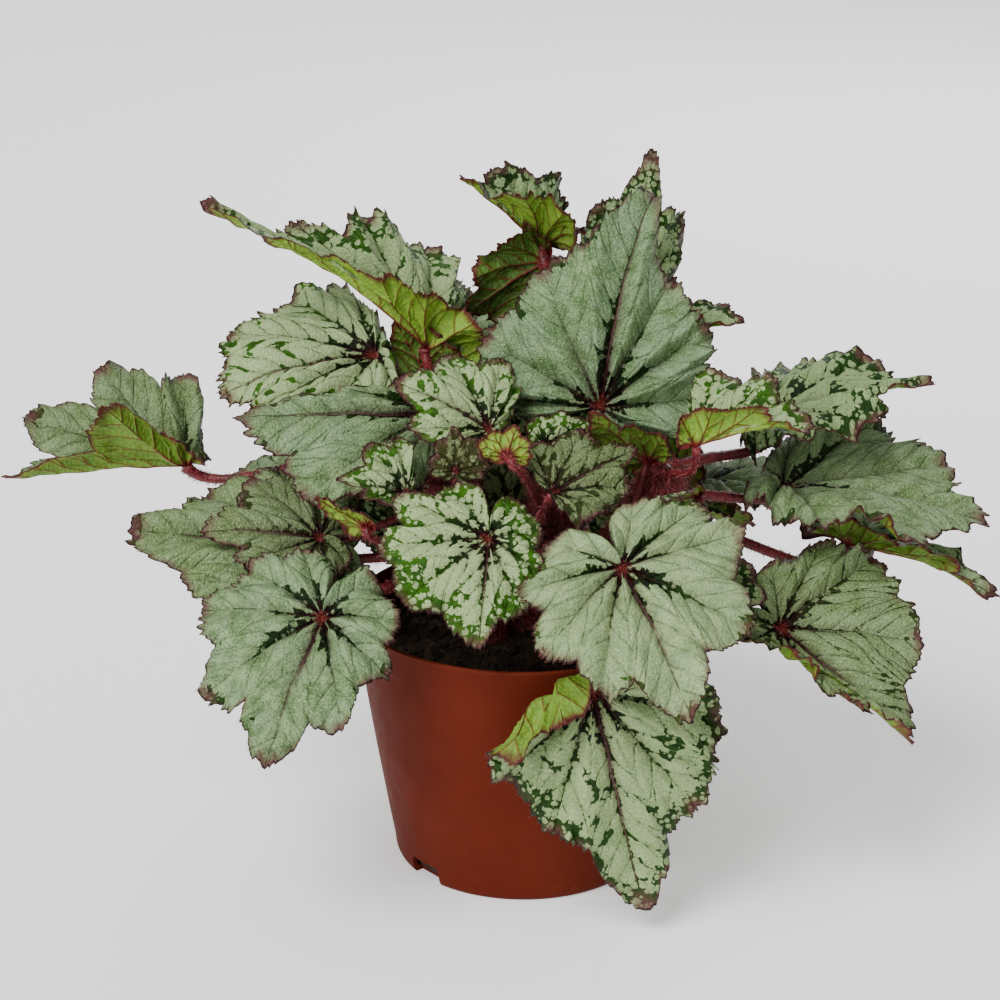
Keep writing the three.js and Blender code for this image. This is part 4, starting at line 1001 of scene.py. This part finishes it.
# Each leaf's own value mixes dark olive, partly painted shade, to lime, partly painted light shining through.
green = painted(mix(smooth(lime + 0.7 * mottle, 0.0, 1.1), SHADED_OLIVE, BACKLIT_LIME),
                (smooth(noise(flat, 4.0, 3), 0.4, 0.7, 0.0, 0.6), UNDER_CLOUD),
                (0.30 * veins["Net"], UNDER_NET),
                (0.72 * veins["Side"], UNDER_SIDE_VEIN),
                (0.92 * veins["Main"], UNDER_MAIN_VEIN),
                (smooth(to_rim, 0.28, 0.05, 0.0, 0.55), UNDER_BLUSH),
                (smooth(to_rim, 0.14, 0.05, 0.0, 0.95), UNDER_RIM),
                (0.8 * tips, UNDER_TIP),
                (smooth(along, 0.5, 0.15), UNDER_EYE))
relief = 1.1 * veins["Ridge"] + 0.25 * noise(flat, 20, 3)
attach(shader, Base_Color=green, Normal=bump(relief, 0.75, 0.0008))

# The rim's narrow edge face, dark red all round.
EDGE_DARK, EDGE_RED = srgb(44, 12, 18), srgb(92, 44, 46)
leaf_rim, tree, shader = surface("leaf_rim", Roughness=0.55, Specular_IOR_Level=0.2)
attach(shader, Base_Color=mix(noise(flat_place(tree), 3.0, 3), EDGE_DARK, EDGE_RED))

for leaf in LEAVES:
    leaf["corners"] = outline_corners(leaf)
    leaf["last"] = len(leaf["corners"]) - 1
    leaf["columns"] = FEW_COLUMNS if leaf["long"] < SMALL_LEAF else FINE_COLUMNS
    leaf["edge"] = edge_table(leaf)
    leaf["drawn"] = np.random.default_rng(500 + leaf["number"]).uniform(0, 1, leaf["last"])
    leaf["spacing"] = VEIN_SPACING * (leaf["long"] / 60) ** 0.5
    leaf["puff"] = min(1.3, leaf["long"] / 42)
    made = blade(leaf)
    if leaf["number"] < GROWN:
        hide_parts(leaf["name"])
    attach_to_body(made, "root")

# ---- Stems and stalks ----
# Three thick stems stand in the soil, and a crimson stalk leaves one of them for each leaf. All are
# juicy, round and covered in pale red hairs, and a stalk widens a little where it meets its blade.
STEMS = {
    "stems_left": [(-14, -5, 73), (-14, -5, 85), (-18, -5, 102), (-23, -4, 130), (-27, -2, 163)],
    "stems_middle": [(0, 8, 73), (0, 8, 85), (5, 10, 102), (10, 11, 128), (14, 13, 150)],
    "stems_right": [(16, -6, 73), (16, -6, 85), (24, -5, 102), (36, -5, 120), (50, -6, 146)],
}
STEM_RADIUS = 0.0052
STEM_STEPS, STEM_SIDES = 60, 20
STALK_RADIUS, STALK_SIDES = 0.0019, 12
SLIM_STALK_RADIUS, SLIM_STALK_SIDES = 0.0013, 10
SLIM_STALK_LEAF = 42
STEM_UPPER = 36
BRACT_LONG, BRACT_WIDE = (0.008, 0.014), (0.0035, 0.006)
HAIR_THICK = 0.00026
# Hairs to each millimetre of a stem or stalk, and their length.
STEM_HAIRS, STEM_TOP_HAIRS = (67, 0.0050), (100, 0.0078)
STALK_HAIRS, SLIM_STALK_HAIRS, STALK_FOOT_HAIRS = (8, 0.0015), (5, 0.0015), (22, 0.0036)


def curve_through(points, share):
    """A smooth curve through points, each stretch a cubic whose ends follow its neighbours."""
    points = np.array(points, float)
    padded = np.concatenate([[2 * points[0] - points[1]], points, [2 * points[-1] - points[-2]]])
    run = np.clip(share, 0, 1 - 1e-9) * (len(points) - 1)
    number = run.astype(int)
    t = (run - number)[:, None]
    a, b, c, d = (padded[number + k] for k in range(4))
    bent = (2 * a - 5 * b + 4 * c - d) * t ** 2 + (3 * b - a - 3 * c + d) * t ** 3
    return 0.5 * (2 * b + (c - a) * t + bent)


def tube(path, radius, sides):
    """A closed tube along a path: at each step a circle across the path's direction."""
    ahead = unit(np.gradient(path, axis=0))
    one = unit(np.cross(ahead, [0.31, 0.87, 0.12]))
    two = np.cross(ahead, one)
    turn = np.arange(sides) * 2 * np.pi / sides
    out = one[:, None] * np.cos(turn)[:, None] + two[:, None] * np.sin(turn)[:, None]
    return closed(path[:, None] + out * radius[:, None, None], path[0], path[-1])


def nearest(points, spot):
    """The nearest place to spot on a line through points."""
    points = np.array(points, float)
    start, run = points[:-1], np.diff(points, axis=0)
    share = np.clip(((spot - start) * run).sum(1) / (run ** 2).sum(1), 0, 1)
    found = start + share[:, None] * run
    return found[np.argmin(np.linalg.norm(found - spot, axis=1))]


def stalk_path(leaf):
    """The name of a stalk's stem and the stalk's middle line in metres: a cubic that leaves the
    stem's nearest place upwards and arrives under the blade."""
    root = np.array(leaf["root"], float)
    stem = min(STEMS, key=lambda name: np.linalg.norm(nearest(STEMS[name][1:], root) - root))
    root = nearest(STEMS[stem][1:], root)
    _, midrib, normal = leaf_axes(leaf)
    at = np.array(leaf["at"], float)
    length = np.linalg.norm(at - root)
    arriving = leaf["under"] * normal + leaf["behind"] * midrib + [0, 0, leaf["sag"]]
    end = at - 0.15 * normal
    leaving = root + [0, 0, leaf["rise"] * length] + 0.25 * (end - root) * [1, 1, 0]
    before = end - length * arriving
    t = np.linspace(0, 1, 12 + int(length / 4))[:, None]
    near = (1 - t) ** 3 * root + 3 * t * (1 - t) ** 2 * leaving
    far = 3 * t ** 2 * (1 - t) * before + t ** 3 * end
    return stem, 0.001 * (near + far)


def join(parts):
    """Several shapes, each (points, quads, triangles), as one."""
    starts = np.cumsum([0] + [len(points) for points, _, _ in parts[:-1]])
    return (np.concatenate([points for points, _, _ in parts]),
            np.concatenate([quads + start for (_, quads, _), start in zip(parts, starts)]),
            np.concatenate([fans + start for (_, _, fans), start in zip(parts, starts)]))


def hairs(roots, ways, lengths, thick, droop=0.35):
    """Fine hairs: three-sided spikes that start on their roots and bend down along their length."""
    ways = unit(ways)
    one = unit(np.cross(ways, [0.21, 0.34, 0.91]))
    two = np.cross(ways, one)
    turn = np.arange(3) * 2 * np.pi / 3
    ring = (one[:, None] * np.cos(turn)[:, None] + two[:, None] * np.sin(turn)[:, None]) * thick / 2
    lengths = np.asarray(lengths)[:, None]
    base = roots[:, None] + ring - 0.0001 * ways[:, None]
    middle = roots + 0.55 * lengths * ways
    tips = roots + lengths * (ways + [0, 0, -droop])
    points = np.concatenate([base, middle[:, None] + 0.6 * ring, tips[:, None]], axis=1)
    start = 7 * np.arange(len(roots))[:, None, None]
    walls = np.array([[0, 1, 4, 3], [1, 2, 5, 4], [2, 0, 3, 5]])
    ends = np.array([[3, 4, 6], [4, 5, 6], [5, 3, 6]])
    return points.reshape(-1, 3), (start + walls).reshape(-1, 4), (start + ends).reshape(-1, 3)


STALK_DARK, STALK_RED = srgb(74, 13, 20), srgb(112, 32, 38)
STALK_FRECKLE, STALK_SHADE_LOW = srgb(160, 84, 74), srgb(46, 12, 16)
juicy, tree, shader = surface("stalk_skin", Roughness=0.42, Specular_IOR_Level=0.35)
where = place_on(tree)
streak = noise(where, 240, 4, 0.6)
freckle = outputs(tree, "ShaderNodeTexVoronoi", {"Vector": where, "Scale": 900.0})["Distance"]
# The last coat is painted shade: stems and stalks darker low down, below the leaves and towards the soil.
skin = painted(mix(smooth(streak, 0.35, 0.65), STALK_DARK, STALK_RED),
               (smooth(freckle, 0.3, 0.1, 0.0, 0.5), STALK_FRECKLE),
               (smooth(height_at(where), 0.125, 0.085, 0.0, 0.6), STALK_SHADE_LOW))
attach(shader, Base_Color=skin, Normal=bump(streak + freckle, 0.4, 0.0004))

HAIR_RED, HAIR_PALE = srgb(72, 14, 22), srgb(184, 92, 94)
down, tree, shader = surface("red_hairs", Roughness=0.5, Specular_IOR_Level=0.3)
attach(shader, Base_Color=mix(smooth(noise(place_on(tree), 1300, 3), 0.38, 0.62), HAIR_RED, HAIR_PALE))

chance = np.random.default_rng(23)
bodies = {name: [] for name in STEMS}
fuzz = {name: [] for name in STEMS}


def fuzzy(path, radius, dense, length):
    """Roots, outward ways and lengths of hairs drawn over a tube, dense of them to a millimetre."""
    count = int(np.linalg.norm(np.diff(path, axis=0), axis=1).sum() * 1000 * dense)
    spot = chance.uniform(0, len(path) - 1.001, count)
    number = spot.astype(int)
    ahead = unit(np.gradient(path, axis=0))[number]
    middle = path[number] + (spot - number)[:, None] * (path[number + 1] - path[number])
    drawn_way = unit(chance.normal(0, 1, (count, 3)))
    out = unit(drawn_way - (drawn_way * ahead).sum(1)[:, None] * ahead)
    ways = out + 0.45 * chance.normal(0, 1, (count, 3))
    return middle + out * radius[number][:, None], ways, length * chance.uniform(0.5, 1.15, count)


for name, points in STEMS.items():
    share = np.linspace(0, 1, STEM_STEPS)
    path = 0.001 * curve_through(points, share)
    knobs = 1 + 0.07 * np.sin(share * 41) + 0.05 * np.sin(share * 23 + 1)
    radius = STEM_RADIUS * knobs * np.interp(share, [0, 0.5, 0.93, 1], [1, 1, 0.8, 0.45])
    bodies[name].append(tube(path, radius, STEM_SIDES))
    fuzz[name].append(fuzzy(path, radius, *STEM_HAIRS))
    fuzz[name].append(fuzzy(path[STEM_UPPER:], radius[STEM_UPPER:], *STEM_TOP_HAIRS))
for leaf in LEAVES:
    name, path = stalk_path(leaf)
    slim = leaf["long"] < SLIM_STALK_LEAF
    share = np.linspace(0, 1, len(path))
    radius = SLIM_STALK_RADIUS if slim else STALK_RADIUS
    radius = radius * np.interp(share, [0, 0.15, 0.8, 0.96, 1], [1.25, 1.02, 0.86, 1.0, 1.3])
    bodies[name].append(tube(path, radius, SLIM_STALK_SIDES if slim else STALK_SIDES))
    foot = len(path) // 4
    fuzz[name].append(fuzzy(path, radius, *(SLIM_STALK_HAIRS if slim else STALK_HAIRS)))
    fuzz[name].append(fuzzy(path[:foot], radius[:foot], *STALK_FOOT_HAIRS))


def bract(root, way, long, wide):
    """A papery scale at the foot of a stalk: a squashed, closed tube that widens, narrows to a point
    and curls outwards along its length."""
    share = np.linspace(0, 1, 11)[:, None]
    across = unit(np.cross(way, [0.05, 0.1, 1]))
    rise = np.array([0, 0, 1.0])
    path = root + long * (share * (0.35 * way + 0.9 * rise) + share ** 3 * (0.45 * way - 0.35 * rise))
    out = unit(np.cross(across, unit(np.gradient(path, axis=0))))
    turn = np.arange(8) * np.pi / 4
    half = wide / 2 * np.sin(np.pi * np.clip(share, 0.03, 0.985) ** 0.7) ** 0.8
    hollow = 0.00016 * np.sin(turn) + 0.22 * half * np.cos(turn) ** 2
    rings = path[:, None] + across * (half * np.cos(turn))[..., None] + out[:, None] * hollow[..., None]
    return closed(rings, rings[0].mean(0), rings[-1].mean(0))


BRACT_DARK, BRACT_BROWN = srgb(62, 15, 18), srgb(104, 42, 34)
papery, tree, shader = surface("bract_skin", Roughness=0.6, Specular_IOR_Level=0.2)
papery_share = smooth(noise(place_on(tree), 260, 4), 0.35, 0.65)
attach(shader, Base_Color=mix(papery_share, BRACT_DARK, BRACT_BROWN))
scales = []
for leaf in LEAVES:
    _, path = stalk_path(leaf)
    level = unit((path[-1] - path[0]) * [1, 1, 0])
    for side in (-1, 1):
        way = unit(level + 0.8 * side * np.cross(level, [0, 0, 1]) + 0.2 * chance.normal(0, 1, 3) * [1, 1, 0])
        long, wide = chance.uniform(*BRACT_LONG), chance.uniform(*BRACT_WIDE)
        scales.append(bract(path[0] + 0.6 * STEM_RADIUS * way, way, long, wide))
made = piece("bracts", *join(scales))
made.data.materials.append(papery)
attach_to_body(made, "root")

for name in STEMS:
    made = piece(name + "_skin", *join(bodies[name]))
    made.data.materials.append(juicy)
    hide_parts(name)
    coat = piece(name + "_hairs", *hairs(*(np.concatenate(part) for part in zip(*fuzz[name])), HAIR_THICK))
    coat.data.materials.append(down)
    for each in (made, coat):
        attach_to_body(each, "root")

# ---- Hairs of the blades ----
# Short pinkish hairs fringe every leaf's edge, and a small red tuft marks where the stalk arrives.
# They grow out of the blade itself: out of its rim, and out of its upper side round the stalk.
# Dense is how many hairs there are to each millimetre of the leaf's length.
FRINGE_DENSE, FRINGE_LENGTH, FRINGE_THICK = 4, 0.0008, 0.00012
TUFT_DENSE, TUFT_LENGTH, TUFT_THICK, TUFT_REACH = 1.6, 0.0013, 0.00017, 0.09
for first, leaves in (("front", LEAVES[:GROWN // 2]), ("back", LEAVES[GROWN // 2:GROWN]),
                      ("young", LEAVES[GROWN:])):
    parts = []
    for leaf in leaves:
        count = int(leaf["long"] * FRINGE_DENSE)
        place = chance.uniform(0.3, leaf["last"] - 0.3, count)
        edge = blade_points(leaf, place, np.ones(count), 0.0)
        inside = blade_points(leaf, place, np.full(count, 0.97), 0.0)
        ways = unit(edge - inside) + 0.5 * chance.normal(0, 1, (count, 3))
        parts.append(hairs(edge, ways, FRINGE_LENGTH * chance.uniform(0.5, 1.2, count), FRINGE_THICK, 0.1))
        count = int(leaf["long"] * TUFT_DENSE)
        place = chance.uniform(0, leaf["last"] - 0.01, count)
        share = TUFT_REACH * np.sqrt(chance.uniform(0, 1, count))
        upper = blade_points(leaf, place, share, BLADE_THICK / 2)
        ways = leaf_axes(leaf)[2] + 0.6 * chance.normal(0, 1, (count, 3))
        parts.append(hairs(upper, ways, TUFT_LENGTH * chance.uniform(0.5, 1.2, count), TUFT_THICK, 0.1))
    fringe = piece("leaf_hairs_" + first, *join(parts))
    fringe.data.materials.append(down)
    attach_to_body(fringe, "root")

# ---- Floor, light and camera ----
# A plain pale floor, which isn't part of the plant, soft studio light from the front left with a
# weaker one behind, and a camera that looks down at the photo's angle.
FLOOR_HALF = 30
WHITE = (1, 1, 1, 1)
FLOOR_COLOUR = (0.96, 0.96, 0.96, 1)
FLOOR_GLOW = 0.30
SKY_LIGHT, SKY_SEEN_MORE = 0.50, 0.75
floor_points = FLOOR_HALF * np.array([[-1, -1, 0], [1, -1, 0], [1, 1, 0], [-1, 1, 0]], float)
floor = piece("floor", floor_points, np.array([[0, 1, 2, 3]]), smooth=False)
pale_floor, tree, shader = surface("floor", Roughness=0.8, Base_Color=FLOOR_COLOUR, Emission_Color=WHITE,
                                   Emission_Strength=FLOOR_GLOW)
floor.data.materials.append(pale_floor)

world = bpy.data.worlds.new("studio")
world.use_nodes = True
background = world.node_tree.nodes["Background"]
background.inputs["Color"].default_value = WHITE
seen = outputs(world.node_tree, "ShaderNodeLightPath")["Is Camera Ray"]
attach(background, Strength=SKY_LIGHT + SKY_SEEN_MORE * seen)
bpy.context.scene.world = world


def lamp(kind, name, place, target, size, power):
    """A soft light that looks from place to target: a sun with a wide disc, or a square panel."""
    light = bpy.data.lights.new(name, kind)
    light.energy = power
    if kind == "SUN":
        light.angle = size
    else:
        light.shape, light.size = "SQUARE", size
    made = bpy.data.objects.new(name, light)
    made.location = place
    made.rotation_euler = (Vector(target) - Vector(place)).to_track_quat("-Z", "Y").to_euler()
    bpy.context.scene.collection.objects.link(made)


lamp("SUN", "key", (-0.55, -0.75, 1.25), (0, 0, 0), math.radians(30), 2.85)
lamp("AREA", "front", (-0.9, -1.3, 0.7), (0, 0, 0.12), 0.8, 12)
lamp("AREA", "back", (0.5, 1.3, 0.9), (0, 0, 0.14), 0.8, 9)

CAMERA_LIFT = math.radians(20.3)
CAMERA_FAR = 0.9
CAMERA_TARGET = (-0.0082, 0.0, 0.1315)
LENS = 93.8
SENSOR = 36
lens = bpy.data.cameras.new("camera")
lens.lens = LENS
lens.sensor_width = SENSOR
camera = bpy.data.objects.new("camera", lens)
camera.location = (CAMERA_TARGET[0], -CAMERA_FAR * math.cos(CAMERA_LIFT),
                   CAMERA_TARGET[2] + CAMERA_FAR * math.sin(CAMERA_LIFT))
camera.rotation_euler = (math.pi / 2 - CAMERA_LIFT, 0, 0)
bpy.context.scene.collection.objects.link(camera)
bpy.context.scene.camera = camera
